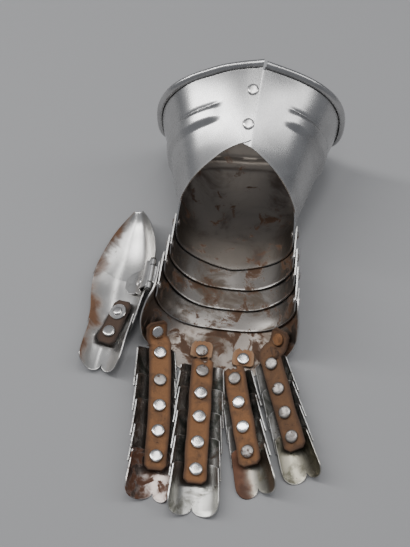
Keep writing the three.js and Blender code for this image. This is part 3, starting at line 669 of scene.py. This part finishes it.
# %% Pivot rivets
def add_pivots(bm, y, nest, finish):
    inner = STEP["side"] + PLATE + 1.5 * GAP
    for side in (-1, 1):
        flush = nest == 0 and side < 0
        outer = [(0, 0.3)] if flush else mirrored(dome(3.1, -0.3, 1.5))
        profile = [*outer, (PIVOT_SHANK, 0.3), (PIVOT_SHANK, inner), *dome(2.7, inner, 1.0)]
        add_turned(bm, profile, wrist_point(side * 90, y, nest), Vector((-side, 0, 0)), finish, 24)


# %% [markdown]
# ### Lames
# The edge of a lame curves from the middle of the back up to an ear on each side, where the pivot
# sits. The three are the same shape in three sizes.

# %% Three wrist lames
EAR = 6.4
for index, back in enumerate((158, 143, 128.5)):
    nest = 3 - index
    cuff_pivot, hand_pivot = PIVOT_Y[index], PIVOT_Y[index + 1]

    def outer(u, v):
        turn = abs(2 * u - 1)
        side = smooth(turn, 0.15, 0.88)
        ear = smooth(turn, 0.9, 1) * 5
        hand_edge = lerp(back, hand_pivot - EAR, side) + ear
        cuff_edge = lerp(cuff_pivot - 2.5, cuff_pivot + EAR, side) - ear * 0.6
        return wrist_point((2 * u - 1) * lerp(95, 101, v), lerp(hand_edge, cuff_edge, v), nest)

    bm = bmesh.new()
    add_sheet(bm, inside_of(outer, PLATE), 130, 18, PLATE, 0, 1, edge=0.25, dents=0.28, seed=4.0 + index)
    add_pivots(bm, cuff_pivot, nest, 2)
    finish_piece(bm, f"wrist_lame_{'abc'[index]}", [lame_inside, plate_outside, disc_dull])

# %% [markdown]
# ### Fingers, as numbers
# A row says where the finger's first rivet is, how far it is turned and how round its trough is.
# `left` and `right` are how far the trough goes up on either side, in degrees, and `pitch` lists
# the distances between rivets. The straps of the middle and the ring finger have torn.

# %% Finger table
FINGERS = [
    {
        "name": "index", "x": -40.6, "y": 103, "heading": 9.5, "bend": -8, "roll": -4, "radius": 18.2,
        "left": 80, "right": 41, "pitch": [20, 18, 17.5, 17], "tip": 27.5,
        "torn": False, "root": (-47.2, 119.5),
    },
    {
        "name": "middle", "x": -11.2, "y": 93.4, "heading": 4, "bend": 0, "roll": -8, "radius": 19,
        "left": 66, "right": 61, "pitch": [16, 16.5, 17.5, 18], "tip": 28.5,
        "torn": True, "root": (-13, 110.5),
    },
    {
        "name": "ring", "x": 13.6, "y": 91, "heading": 15.3, "bend": 1, "roll": 22, "radius": 17.2,
        "left": 51, "right": 62, "pitch": [17, 17.3, 16.8], "tip": 28,
        "torn": True, "root": (15.5, 108),
    },
    {
        "name": "little", "x": 37.2, "y": 105, "heading": 19.5, "bend": 1, "roll": 29, "radius": 16.8,
        "left": 59, "right": 50, "pitch": [18.5, 17, 17], "tip": 28.5,
        "torn": False, "root": (41.2, 122.5),
    },
]
SCALE = 0.9
LEATHER = 2.0
SHINGLE = 1.55
NOTCH = 5.8
HEAD = 5.2
LAP = 7.5
SHANK = 1.6
STRAP = {"width": 14.6, "lift": 2.85, "rise": 0.4, "end": 9, "past": 6.5, "torn": 10}
ROOT = {"lift": 1.8, "rise": 1.0, "flat": 4.5}


def root_seat(finger):
    """Where a strap is riveted to the hand plate: the inner face and the way inwards."""
    x, y = finger["root"]
    row = row_at(HAND_ROWS, y)
    part = (x - row["centre"]) / row["half"]
    angle = math.degrees(math.asin(signed_power(part, row["full"] / 2)))

    def face(u, v):
        return wrist_point(angle + 10 * (u - 0.5), y + v - 0.5, 0)

    inwards = -outward(face, 0.5, 0.5)
    return face(0.5, 0.5) + inwards * PLATE, inwards


# %% [markdown]
# ### Hand plate
# The plate covers the back of the hand from the wrist to the knuckles. Its wrist edge reaches
# further back on the thumb side and its finger edge follows the four fingers. The rivets at the
# roots of the straps belong to it.

# %% Hand plate
WRIST_EDGE = {"back": 136.5, "side": 144.7, "thumb": 153}
FINGER_EDGE = rows_of(
    "turn y",
    (-1, 113), (-0.75, 110.5), (-0.5, 109.5), (-0.2, 97.5), (0.25, 98.5), (0.6, 108.5), (1, 117),
)
HAND_REACH = rows_of("y reach", (96, 46), (106, 58), (118, 82), (132, 95), (154, 99))


def hand_point(u, v):
    turn = 2 * u - 1
    side = smooth(abs(turn), 0.2, 0.9)
    side_edge = WRIST_EDGE["thumb"] if turn < 0 else WRIST_EDGE["side"]
    wrist_edge = lerp(WRIST_EDGE["back"], side_edge, side)
    y = lerp(read(FINGER_EDGE, "turn", turn, "y"), wrist_edge, v)
    return wrist_point(turn * read(HAND_REACH, "y", y, "reach"), y, 0)


ROOT_FINISH = {"index": 2, "middle": 3, "ring": 2, "little": 4}
bm = bmesh.new()
add_sheet(bm, inside_of(hand_point, PLATE), 150, 36, PLATE, 0, 1, edge=0.25, dents=0.3, seed=9.0)
add_pivots(bm, PIVOT_Y[3], 0, 2)
for finger in FINGERS:
    top = LEATHER + (3 if finger["torn"] else 4.5) * GAP + (0 if finger["torn"] else ROOT["lift"])
    base, inwards = root_seat(finger)
    head = [(0, -0.6), (SHANK, -0.6), (SHANK, top), *disc(4.2, top, 1.2)]
    add_turned(bm, head, base, inwards, ROOT_FINISH[finger["name"]])
finish_piece(bm, "hand_plate", [hand_inside, plate_outside, disc_bright, disc_dull, disc_rusted])

# %% [markdown]
# ## The cuff
# The cuff is one sheet, bent round until its ends lap on the palm side, and riveted there. Its
# section is narrow at the wrist and flares towards the forearm. Inside, the lap makes a step of
# one plate.

# %% Cuff form
CUFF_ROWS = rows_of(
    "y axis half rise drop",
    (170, 38, 40.75, 33, 28.2),
    (190, 39.5, 40.75, 37, 30),
    (200, 41.5, 41.2, 40, 32.7),
    (221, 46.5, 47.6, 45.5, 41),
    (245, 52, 55, 48.5, 48.6),
    (270, 56, 63.6, 51.5, 53),
    (302, 60.5, 71.5, 53, 58.3),
)
CUFF_HAND_EDGE = rows_of(
    "turn y",
    (-10, 224.5), (0, 220.5), (27, 210), (58, 200.5), (76, 196), (88, 186), (100, 181.5),
    (150, 176), (180, 172.5),
)
RIM = {"back": 299, "side": 269.5, "peak": 275.5, "skew": 3.8}
CUFF_WALL = 0.9
SEAM = {"over": 4.8, "under": 8, "lift": CUFF_WALL + GAP, "ramp": 22}
BAND = {"from_rim": 30, "half": 6.5, "rise": 1.9, "fade_from": 19, "fade_to": 31}
FIRST = -(180 + SEAM["over"])
LAST = 180 + SEAM["under"]


def cuff_point(angle, y, lift):
    """A point of the outer face. The angle is 0 at the back and 180 at the top of the palm side."""
    row = row_at(CUFF_ROWS, y)
    power = 2 / 2.25
    cosine = math.cos(math.radians(angle))
    height = (row["drop"] if cosine > 0 else row["rise"]) + lift
    from_seam = abs(angle + 180 + SEAM["over"]) % 360
    ridge = 2.2 * math.exp(-min(from_seam, 360 - from_seam) / 14)
    x = (row["half"] + lift) * signed_power(math.sin(math.radians(angle)), power)
    return Vector((x, y, row["axis"] - height * signed_power(cosine, power) + ridge))


def band_rise(from_rim, from_seam):
    """The raised band that runs round the cuff and dies away before the seam."""
    across = abs(from_rim - BAND["from_rim"]) / BAND["half"]
    groove = 0.5 * math.exp(-(((from_rim - BAND["from_rim"] + BAND["half"] * 0.95) / 1.3) ** 2))
    ridge = BAND["rise"] * (1 - smooth(across, 0.35, 1)) - groove
    return ridge * smooth(from_seam, BAND["fade_from"], BAND["fade_to"])


# %% [markdown]
# ### The wired edge
# A rim of thin steel cuts and bends. So the smith rolls it outwards over a wire. The last part of
# the grid does the same here: it leaves the cuff's face and goes most of the way round the wire,
# which leaves a fine dark gap on the outside. The flap under the lap has no roll.

# %% Cuff with its roll
WIRE = {"radius": 2.3, "turn": 292, "share": 0.2}
ROLL_END = 180 - SEAM["over"] - 0.35
COLUMNS, ROWS = 280, 120
ROLL_COLUMN = 270


def cuff_form(u, v):
    column = u * COLUMNS
    if column <= ROLL_COLUMN:
        angle = lerp(FIRST, ROLL_END, column / ROLL_COLUMN)
    else:
        angle = lerp(ROLL_END + 0.4, LAST, (column - ROLL_COLUMN - 1) / (COLUMNS - ROLL_COLUMN - 1))
    turn = 180 - abs(angle)
    from_peak = min(abs(angle - FIRST), abs(angle - FIRST - 360))
    rim = lerp(RIM["back"], RIM["side"], smooth(180 - turn, 5, 85))
    rim += RIM["skew"] * math.sin(math.radians(angle))
    rim += (RIM["peak"] - RIM["side"]) * math.exp(-from_peak / 26)
    hand = read(CUFF_HAND_EDGE, "turn", turn, "y")
    lap = SEAM["lift"] * (1 - smooth(angle - FIRST, SEAM["over"] + SEAM["under"] + 1, SEAM["ramp"] + 10))
    straight = min(v / (1 - WIRE["share"]), 1)
    last = rim - WIRE["radius"]
    y = lerp(hand, last if column <= ROLL_COLUMN else last - 3, straight)
    place = cuff_point(angle, y, band_rise(rim - y, from_peak) + lap - CUFF_WALL)
    if straight < 1 or column > ROLL_COLUMN:
        return place
    out = (cuff_point(angle, y, lap + 4) - cuff_point(angle, y, lap)).normalized()
    along = (cuff_point(angle, y + 1, lap) - cuff_point(angle, y - 1, lap)).normalized()
    curl = math.radians(WIRE["turn"]) * (v - 1 + WIRE["share"]) / WIRE["share"]
    return place + (out * (1 - math.cos(curl)) + along * math.sin(curl)) * WIRE["radius"]


bm = bmesh.new()
add_sheet(
    bm, cuff_form, COLUMNS, ROWS, CUFF_WALL, 0, 1, edge=0.0, dents=0.25, seed=1.0,
    rolled=1 - WIRE["share"],
)
for y in (255, 232):
    base = cuff_point(-181.5, y, SEAM["lift"])
    inner = SEAM["lift"] + CUFF_WALL
    stem = [(SHANK, 0.25), (SHANK, inner)]
    profile = [*mirrored(disc(4.0, -0.25, 1.45)), *stem, *dome(2.6, inner - 0.2, 1.1)]
    add_turned(bm, profile, base, Vector((0, 0.25, -1)).normalized(), 2)
finish_piece(bm, "cuff", [cuff_inside, cuff_steel, disc_bright])

# %% [markdown]
# ## Finger scales
# A scale is a short trough. It is narrower at the rivet end, where it slips into the scale before
# it, and wider at the other end. The last scale of a finger closes with two lobes, like the pad
# of the finger with a notch in the middle.

# %% Trough of a finger
def finger_place(finger, s):
    """The middle of a finger's circle at distance s from its first rivet, and the way across."""
    length = sum(finger["pitch"]) + finger["tip"]
    turn = math.radians(finger["heading"] + finger["bend"] * s / length)
    mean = math.radians(finger["heading"] + finger["bend"] * s / length / 2)
    across = Vector((math.cos(turn), math.sin(turn), 0))
    x, y = finger["x"] + s * math.sin(mean), finger["y"] - s * math.cos(mean)
    rolled_by = finger["radius"] * 0.8 * math.sin(math.radians(finger["roll"]))
    return Vector((x, y, finger["radius"])) - across * rolled_by, across


def trough_point(finger, s, angle, inset):
    middle, across = finger_place(finger, s)
    turn = math.radians(angle + finger["roll"])
    radius = finger["radius"] - inset
    return middle + across * radius * math.sin(turn) - Vector((0, 0, radius * math.cos(turn)))


def strap_seat(finger, s):
    inset = SHINGLE * (1 + (HEAD + LAP) / 18) + SCALE
    base = trough_point(finger, s, 0, inset)
    return base, (finger_place(finger, s)[0] - base).normalized()


def stations(finger):
    found = [0]
    for step in finger["pitch"]:
        found.append(found[-1] + step)
    return found


def lobes(w, notch, corner):
    """How far a two-lobed end is cut back at w, from -1 to 1 across it."""
    in_lobe = (abs(w) - 0.5) / 0.5
    return (notch if abs(w) < 0.5 else corner) * (1 - math.sqrt(max(1 - in_lobe * in_lobe, 0)))


# %% [markdown]
# ### One scale and its rivet
# The rivet belongs to the scale: it goes through the strap and carries a flat head on top. The
# table of dull heads is what tells one finger's rivets from the next.

# %% Scales of four fingers
TIP = {"index": index_tip, "middle": middle_tip, "ring": ring_tip, "little": little_tip}
DULL = {"index": [1], "middle": [0], "ring": [0, 3], "little": [0, 1, 2, 3]}
TOP = STRAP["lift"] + LEATHER + 2.5 * GAP


def add_scale(bm, finger, index, seed):
    found = stations(finger)
    rivet, is_tip = found[index], index == len(found) - 1
    pitch = LAP + 10 if is_tip else found[index + 1] - rivet
    end = rivet + finger["tip"] if is_tip else rivet + pitch + LAP

    def form(u, v):
        w = 2 * u - 1
        cut = lobes(w, NOTCH, 9) if is_tip else 0.8 * w * w
        s = lerp(end - cut, rivet - HEAD + 4 * w**4, v)
        inset = SHINGLE / pitch * max(rivet + pitch + LAP - s, 0) + SCALE
        return trough_point(finger, s, w * (finger["left"] if w < 0 else finger["right"]), inset)

    add_sheet(bm, form, 64, 40, SCALE, 0, 0, edge=0.2, dents=0.22, seed=seed)


for finger in FINGERS:
    for index, s in enumerate(stations(finger)):
        bm = bmesh.new()
        add_scale(bm, finger, index, 13.0 + index + 7 * FINGERS.index(finger))
        base, inwards = strap_seat(finger, s)
        add_turned(bm, [(0, -0.5), (SHANK, -0.5), (SHANK, TOP), *disc(4.3, TOP, 1.3)], base, inwards, 1)
        plain = index < len(finger["pitch"])
        head = disc_dull if index in DULL[finger["name"]] else disc_bright
        face = scale_steel if plain else TIP[finger["name"]]
        finish_piece(bm, f"{finger['name']}_scale_{index + 1}", [face, head])

# %% [markdown]
# ## Straps
# A strap is a flat band of leather that was cut with a knife and riveted to each scale. It hangs
# free between rivets, so its path is a smooth curve over the seats of the rivets. Each knot of the
# path says which way is up there and how far the edges of the strap curl.

# %% A smooth curve through points
def curve_point(points, v):
    """A point at v, from 0 to 1, on a centripetal curve through all of the points."""
    place = v * (len(points) - 1)
    i = min(int(place), len(points) - 2)
    t = place - i
    a, b = points[i], points[i + 1]
    before = points[i - 1] if i else 2 * a - b
    after = points[i + 2] if i + 2 < len(points) else 2 * b - a
    d0, d1, d2 = ((q - p).length ** 0.5 for p, q in ((before, a), (a, b), (b, after)))
    start = ((a - before) / d0 - (b - before) / (d0 + d1) + (b - a) / d1) * d1
    end = ((b - a) / d1 - (after - a) / (d1 + d2) + (after - b) / d2) * d1
    return (
        a + start * t + (-3 * a + 3 * b - 2 * start - end) * t * t + (2 * a - 2 * b + start + end) * t**3
    )


def over(seat, height, rise):
    base, inwards = seat
    return {"point": base + inwards * height, "up": inwards, "rise": rise}


def strap_path(finger):
    """A strap's top face from its finger end to its root."""
    found = stations(finger)
    first = -STRAP["torn"] if finger["torn"] else -HEAD - 1.5
    path = []
    for s in (found[-1] + STRAP["end"], *reversed(found), first):
        height = LEATHER + STRAP["lift"] + (2.5 * GAP if s < 0 else 0)
        path.append(over(strap_seat(finger, s), height, STRAP["rise"]))
    if finger["torn"]:
        return path
    root = over(root_seat(finger), ROOT["lift"] + LEATHER, ROOT["rise"])
    past = root["point"] - path[-1]["point"]
    past = (past - root["up"] * past.dot(root["up"])).normalized() * STRAP["past"]
    before = root["point"] - past * (ROOT["flat"] / STRAP["past"])
    beyond = root["point"] + past + root["up"] * ROOT["lift"]
    return [*path, {**root, "point": before}, root, {**root, "point": beyond}]


# %% [markdown]
# ### Cutting the leather
# The body of a strap is a grid again, laid along the path. A torn end is a ragged border: noise
# cuts every column of the grid short by a length of its own.

# %% Strap body
def add_strap(bm, path, width, rows, seed, torn=(0.0, 0.0)):
    points = [knot["point"] for knot in path]
    steps = [curve_point(points, i / 60) for i in range(61)]
    length = sum((b - a).length for a, b in zip(steps, steps[1:]))

    def frayed(side, end):
        return min(max(0.5 + 0.6 * noise.fractal(Vector((side * 2.3, seed, end)), 0.8, 2.2, 4), 0), 1)

    def form(u, v):
        side = 2 * u - 1
        v = lerp(torn[0] * frayed(side, 0) / length, 1 - torn[1] * frayed(side, 5) / length, v)
        place = v * (len(path) - 1)
        knot = min(int(place), len(path) - 2)
        a, b, t = path[knot], path[knot + 1], place - min(int(place), len(path) - 2)
        up = a["up"].lerp(b["up"], t).normalized()
        tangent = curve_point(points, min(v + 0.002, 1)) - curve_point(points, max(v - 0.002, 0))
        tangent.normalize()
        across = tangent.cross(up).normalized()
        ragged = noise.noise(Vector((side * 1.7 + seed, v * length * 0.11, seed)))
        half = width / 2 * lerp(0.55, 1, smooth(min(v, 1 - v) * length, -1, 5)) + 0.5 * ragged
        curl = lerp(a["rise"], b["rise"], t) * side * side
        return curve_point(points, v) + across * side * half + up * curl

    add_sheet(bm, form, 20, rows, LEATHER, 0, 0, edge=0.5, dents=0.3, seed=seed)


STRAP_FINISH = {"index": tan_leather, "middle": tan_leather, "ring": tan_leather, "little": stained_tan}
for number, finger in enumerate(FINGERS):
    bm = bmesh.new()
    tear = (0.0, 6.0) if finger["torn"] else (0.0, 0.0)
    add_strap(bm, strap_path(finger), STRAP["width"], 110, 2.0 + number, tear)
    finish_piece(bm, f"{finger['name']}_strap", [STRAP_FINISH[finger["name"]]], 50)

# %% [markdown]
# ### What is left of two straps
# The middle and the ring strap tore off just before the hand plate. Their roots are still held by
# their rivets.

# %% Torn tabs
for number, finger in enumerate(FINGERS):
    if not finger["torn"]:
        continue
    flat = over(root_seat(finger), LEATHER + 1.5 * GAP, 0.3)
    path = [{**flat, "point": flat["point"] + Vector((0, step, 0))} for step in (-7, 0, 9)]
    bm = bmesh.new()
    add_strap(bm, path, STRAP["width"], 40, 8.0 + number, (5.0, 3.0))
    finish_piece(bm, f"{finger['name']}_strap_tab", [torn_tan], 50)

# %% [markdown]
# ## Thumb
# The thumb has a plate for its ball, one lame and a tip scale. Their form is measured as a chord
# from the left edge to the right edge, and a depth by which the plate sags below it.

# %% Thumb form
THUMB_ROWS = rows_of(
    "y left_x left_z right_x right_z depth",
    (85, -93.5, 13.5, -66.5, 15.5, 11), (94, -94.5, 12.5, -65, 15.8, 11.8),
    (105, -94.5, 11, -63, 17, 12.6), (118, -93.5, 9.5, -59.5, 22, 15),
    (130, -94, 8.2, -56, 27, 16.5), (142, -96, 7.6, -52.8, 31, 17.8),
    (155, -97, 7.4, -51.8, 32, 18.3), (172, -94, 8, -52.5, 29.5, 16.6),
    (190, -87.8, 9.5, -57.6, 25, 12), (203, -80.8, 11, -63.8, 19.5, 7),
    (210.5, -75.6, 12.5, -68.6, 15, 1.6),
)
THUMB_SHINGLE = 0.054
THUMB_PLATES = {
    name: dict(zip(("from", "left", "right", "to", "bow", "slope"), row))
    for name, row in (
        ("thumb_heel_plate", (210.5, 0, 0, 150.5, 7.8, 0)),
        ("thumb_base_lame", (157, 6, -1, 115, 5, THUMB_SHINGLE)),
        ("thumb_tip_scale", (123.5, -2, -2, 86, 0, THUMB_SHINGLE)),
    )
}
THUMB_RIVETS = {
    "thumb_base_lame": {"u": 0.4, "y": 130, "head": 3.2, "washer": 6},
    "thumb_tip_scale": {"u": 0.39, "y": 114, "head": 4.3, "washer": 0},
}
THUMB_STRAP = {"width": 13.4, "lift": 3.2, "rise": 0.3, "past": 9, "before": 10}


def thumb_point(u, y):
    row = row_at(THUMB_ROWS, y)
    left = Vector((row["left_x"], y, row["left_z"]))
    chord = Vector((row["right_x"], y, row["right_z"])) - left
    sag = Vector((chord.z, 0, -chord.x)).normalized()
    return left + chord * u + sag * row["depth"] * (1 - abs(2 * u - 1) ** 2.4)


def thumb_seat(name):
    u, y = THUMB_RIVETS[name]["u"], THUMB_RIVETS[name]["y"]
    inwards = -outward(lambda p, q: thumb_point(p, y + q - 0.5), u, 0.5)
    plate = THUMB_PLATES[name]
    inset = plate["slope"] * (y - plate["to"]) + SCALE
    return thumb_point(u, y) + inwards * inset, inwards


# %% [markdown]
# ### Thumb plates
# The lame and the tip slope a little into the plate above them, so that they shingle. The rivet
# of the base lame has a ring under its head.

# %% Thumb plates
for number, (name, plate) in enumerate(THUMB_PLATES.items()):
    def plate_y(u, v):
        w = 2 * u - 1
        bow = plate["bow"] if w < 0 else 1
        cut = lobes(w, NOTCH, 8) - w if name == "thumb_tip_scale" else bow * w * w
        return lerp(plate["to"] + cut, plate["from"] + plate["left" if w < 0 else "right"] * w * w, v)

    def plate_form(u, v):
        return thumb_point(u, plate_y(u, v))

    def inset(u, v):
        return plate["slope"] * (plate_y(u, v) - plate["to"]) + SCALE

    bm = bmesh.new()
    form = inside_of(plate_form, inset)
    add_sheet(bm, form, 84, 70, SCALE, 0, 1, edge=0.2, dents=0.3, seed=30.0 + number)
    if name in THUMB_RIVETS:
        rivet = THUMB_RIVETS[name]
        base, inwards = thumb_seat(name)
        top = THUMB_STRAP["lift"] + LEATHER + 3 * GAP
        stem = [(0, -0.5), (SHANK, -0.5), (SHANK, top)]
        washer = rivet["washer"]
        if washer:
            stem += [(washer - 0.2, top), (washer, top + 0.45), (washer - 0.4, top + 0.9)]
            top += 0.9
        add_turned(bm, stem + disc(rivet["head"], top, 1.2), base, inwards, 2)
    finish_piece(bm, name, [thumb_steel, plate_outside, disc_bright])

# %% Thumb strap
lift = THUMB_STRAP["lift"] + LEATHER
near, far = (over(thumb_seat(name), lift, THUMB_STRAP["rise"]) for name in THUMB_RIVETS)
step = (near["point"] - far["point"]).normalized()
path = [
    {**far, "point": far["point"] - step * THUMB_STRAP["past"]}, far, near,
    {**near, "point": near["point"] + step * THUMB_STRAP["before"]},
]
bm = bmesh.new()
add_strap(bm, path, THUMB_STRAP["width"], 60, 5.0)
finish_piece(bm, "thumb_strap", [dark_leather], 50)

# %% [markdown]
# ## Thumb hinge
# The thumb swings on a small hinge. One leaf is riveted to the inside of the thumb and the other
# to the outside of the hand plate, whose rivets are not made here. The barrel is cut into three
# knuckles and a dark pin holds them.

# %% Leaf of the thumb
LEAF = {
    "wall": 1.1, "inset": 4.9, "edge": 0.86, "end": 0.38, "bend": 0.36, "in": 7.5, "up": 6.2, "hand": 2,
    "shift": 8.5, "half": 10.2, "rivet": 0.6,
}
hinge_base = Vector((HINGE["x"], 0, HINGE["z"]))
ALONG = Vector((0, 1, 0))


def on_thumb(u, y):
    def face(p, q):
        return thumb_point(p, y + q - 0.5)

    return thumb_point(u, y) - outward(face, u, 0.5) * LEAF["inset"]


def leaf_form(u, v):
    reach = 1 - u
    curve = math.sqrt(max(1 - min(max((reach - 0.5) / 0.5, 0), 1) ** 2, 0))
    scallop = 1.2 * abs(math.sin(math.pi * reach * 3))
    half = LEAF["half"] * lerp(0.2, 0.9, curve) + scallop
    y = (HINGE["from"] + HINGE["to"]) / 2 + LEAF["shift"] * smooth(reach, 0, 0.7) + (2 * v - 1) * half
    past = (reach - LEAF["bend"]) / (1 - LEAF["bend"])
    if past > 0:
        return on_thumb(lerp(LEAF["edge"], LEAF["end"], past), y)
    barrel = Vector((HINGE["x"] - 1.2, y, HINGE["z"] + HINGE["radius"] - 0.2))
    top = thumb_point(1, y) + Vector((-LEAF["in"], 0, LEAF["up"]))
    end = on_thumb(LEAF["edge"], y)
    t = reach / LEAF["bend"]
    return barrel * (1 - t) ** 2 + top * 2 * t * (1 - t) + end * t * t


def add_knuckle(bm, start, end, radius=HINGE["radius"]):
    profile = [
        (0, start), (radius - 0.35, start), (radius, start + 0.35),
        (radius, end - 0.35), (radius - 0.35, end), (0, end),
    ]
    add_turned(bm, profile, hinge_base, ALONG, 0, 40)


bm = bmesh.new()
add_sheet(bm, leaf_form, 60, 30, LEAF["wall"], 0, 0, edge=0.25)
spot = leaf_form(1 - LEAF["rivet"], 0.5)
inwards = -outward(leaf_form, 1 - LEAF["rivet"], 0.5)
add_turned(bm, [(0, -0.6), (3.2, -0.6), *dome(3.2, 0.4, 1.0)], spot, inwards, 1)
add_knuckle(bm, HINGE["from"], HINGE["from"] + HINGE["end"])
add_knuckle(bm, HINGE["to"] - HINGE["end"], HINGE["to"])
finish_piece(bm, "thumb_hinge_leaf", [hinge_steel, disc_bright])

# %% Leaf of the hand plate, and the pin
start = HINGE["from"] + HINGE["end"] + GAP
end = HINGE["to"] - HINGE["end"] - GAP


def hand_leaf_form(u, v):
    def face(p, q):
        return wrist_point(lerp(-92, -62, p), lerp(start, end, q), 0)

    return face(u, v) + outward(face, u, v) * GAP


bm = bmesh.new()
add_sheet(bm, hand_leaf_form, 30, 20, LEAF["hand"], 0, 0, edge=0.3)
add_knuckle(bm, start, end)
finish_piece(bm, "hand_hinge_leaf", [hinge_steel])

bm = bmesh.new()
add_knuckle(bm, HINGE["from"] - 1.5, HINGE["from"] - GAP, 1.9)
add_knuckle(bm, HINGE["from"] - GAP, HINGE["to"] + GAP, HINGE["pin"])
add_knuckle(bm, HINGE["to"] + GAP, HINGE["to"] + 1.2, 1.9)
finish_piece(bm, "hinge_pin", [dark_iron])

# %% [markdown]
# ## The table and the light
# Polished steel shows its surroundings more than itself. Long narrow softboxes that run along the
# arm give the cuff its streaks; the left one is the strongest, so the shadow falls to the right.

# %% Table
bm = bmesh.new()
bmesh.ops.create_grid(bm, x_segments=1, y_segments=1, size=3)
mesh = bpy.data.meshes.new("table")
bm.to_mesh(mesh)
bm.free()
table = bpy.data.objects.new("table", mesh)
bpy.context.collection.objects.link(table)
PAPER = (0.36, 0.36, 0.365)
paper, _, surface = new_material("plain paper")
surface.inputs["Base Color"].default_value = (*PAPER, 1)
surface.inputs["Roughness"].default_value = 0.9
mesh.materials.append(paper)


# %% Lights
def softbox(name, place, size, power):
    light = bpy.data.lights.new(name, "AREA")
    light.shape = "RECTANGLE"
    light.size, light.size_y = size
    light.energy = power
    lamp = bpy.data.objects.new(name, light)
    lamp.location = place
    lamp.rotation_euler = (Vector((0, 0, 0.04)) - Vector(place)).to_track_quat("-Z", "Y").to_euler()
    bpy.context.collection.objects.link(lamp)


softbox("overhead", (0.02, 0.1, 1.3), (0.22, 1.2), 4)
softbox("left", (-0.85, 0.15, 1.1), (0.14, 1.5), 11)
softbox("right", (0.6, 0.15, 1.15), (0.26, 1.5), 5)
world = bpy.data.worlds.new("room")
world.use_nodes = True
room = world.node_tree.nodes["Background"]
room.inputs["Color"].default_value = (0.9, 0.93, 1.0, 1)
room.inputs["Strength"].default_value = 0.26
bpy.context.scene.world = world
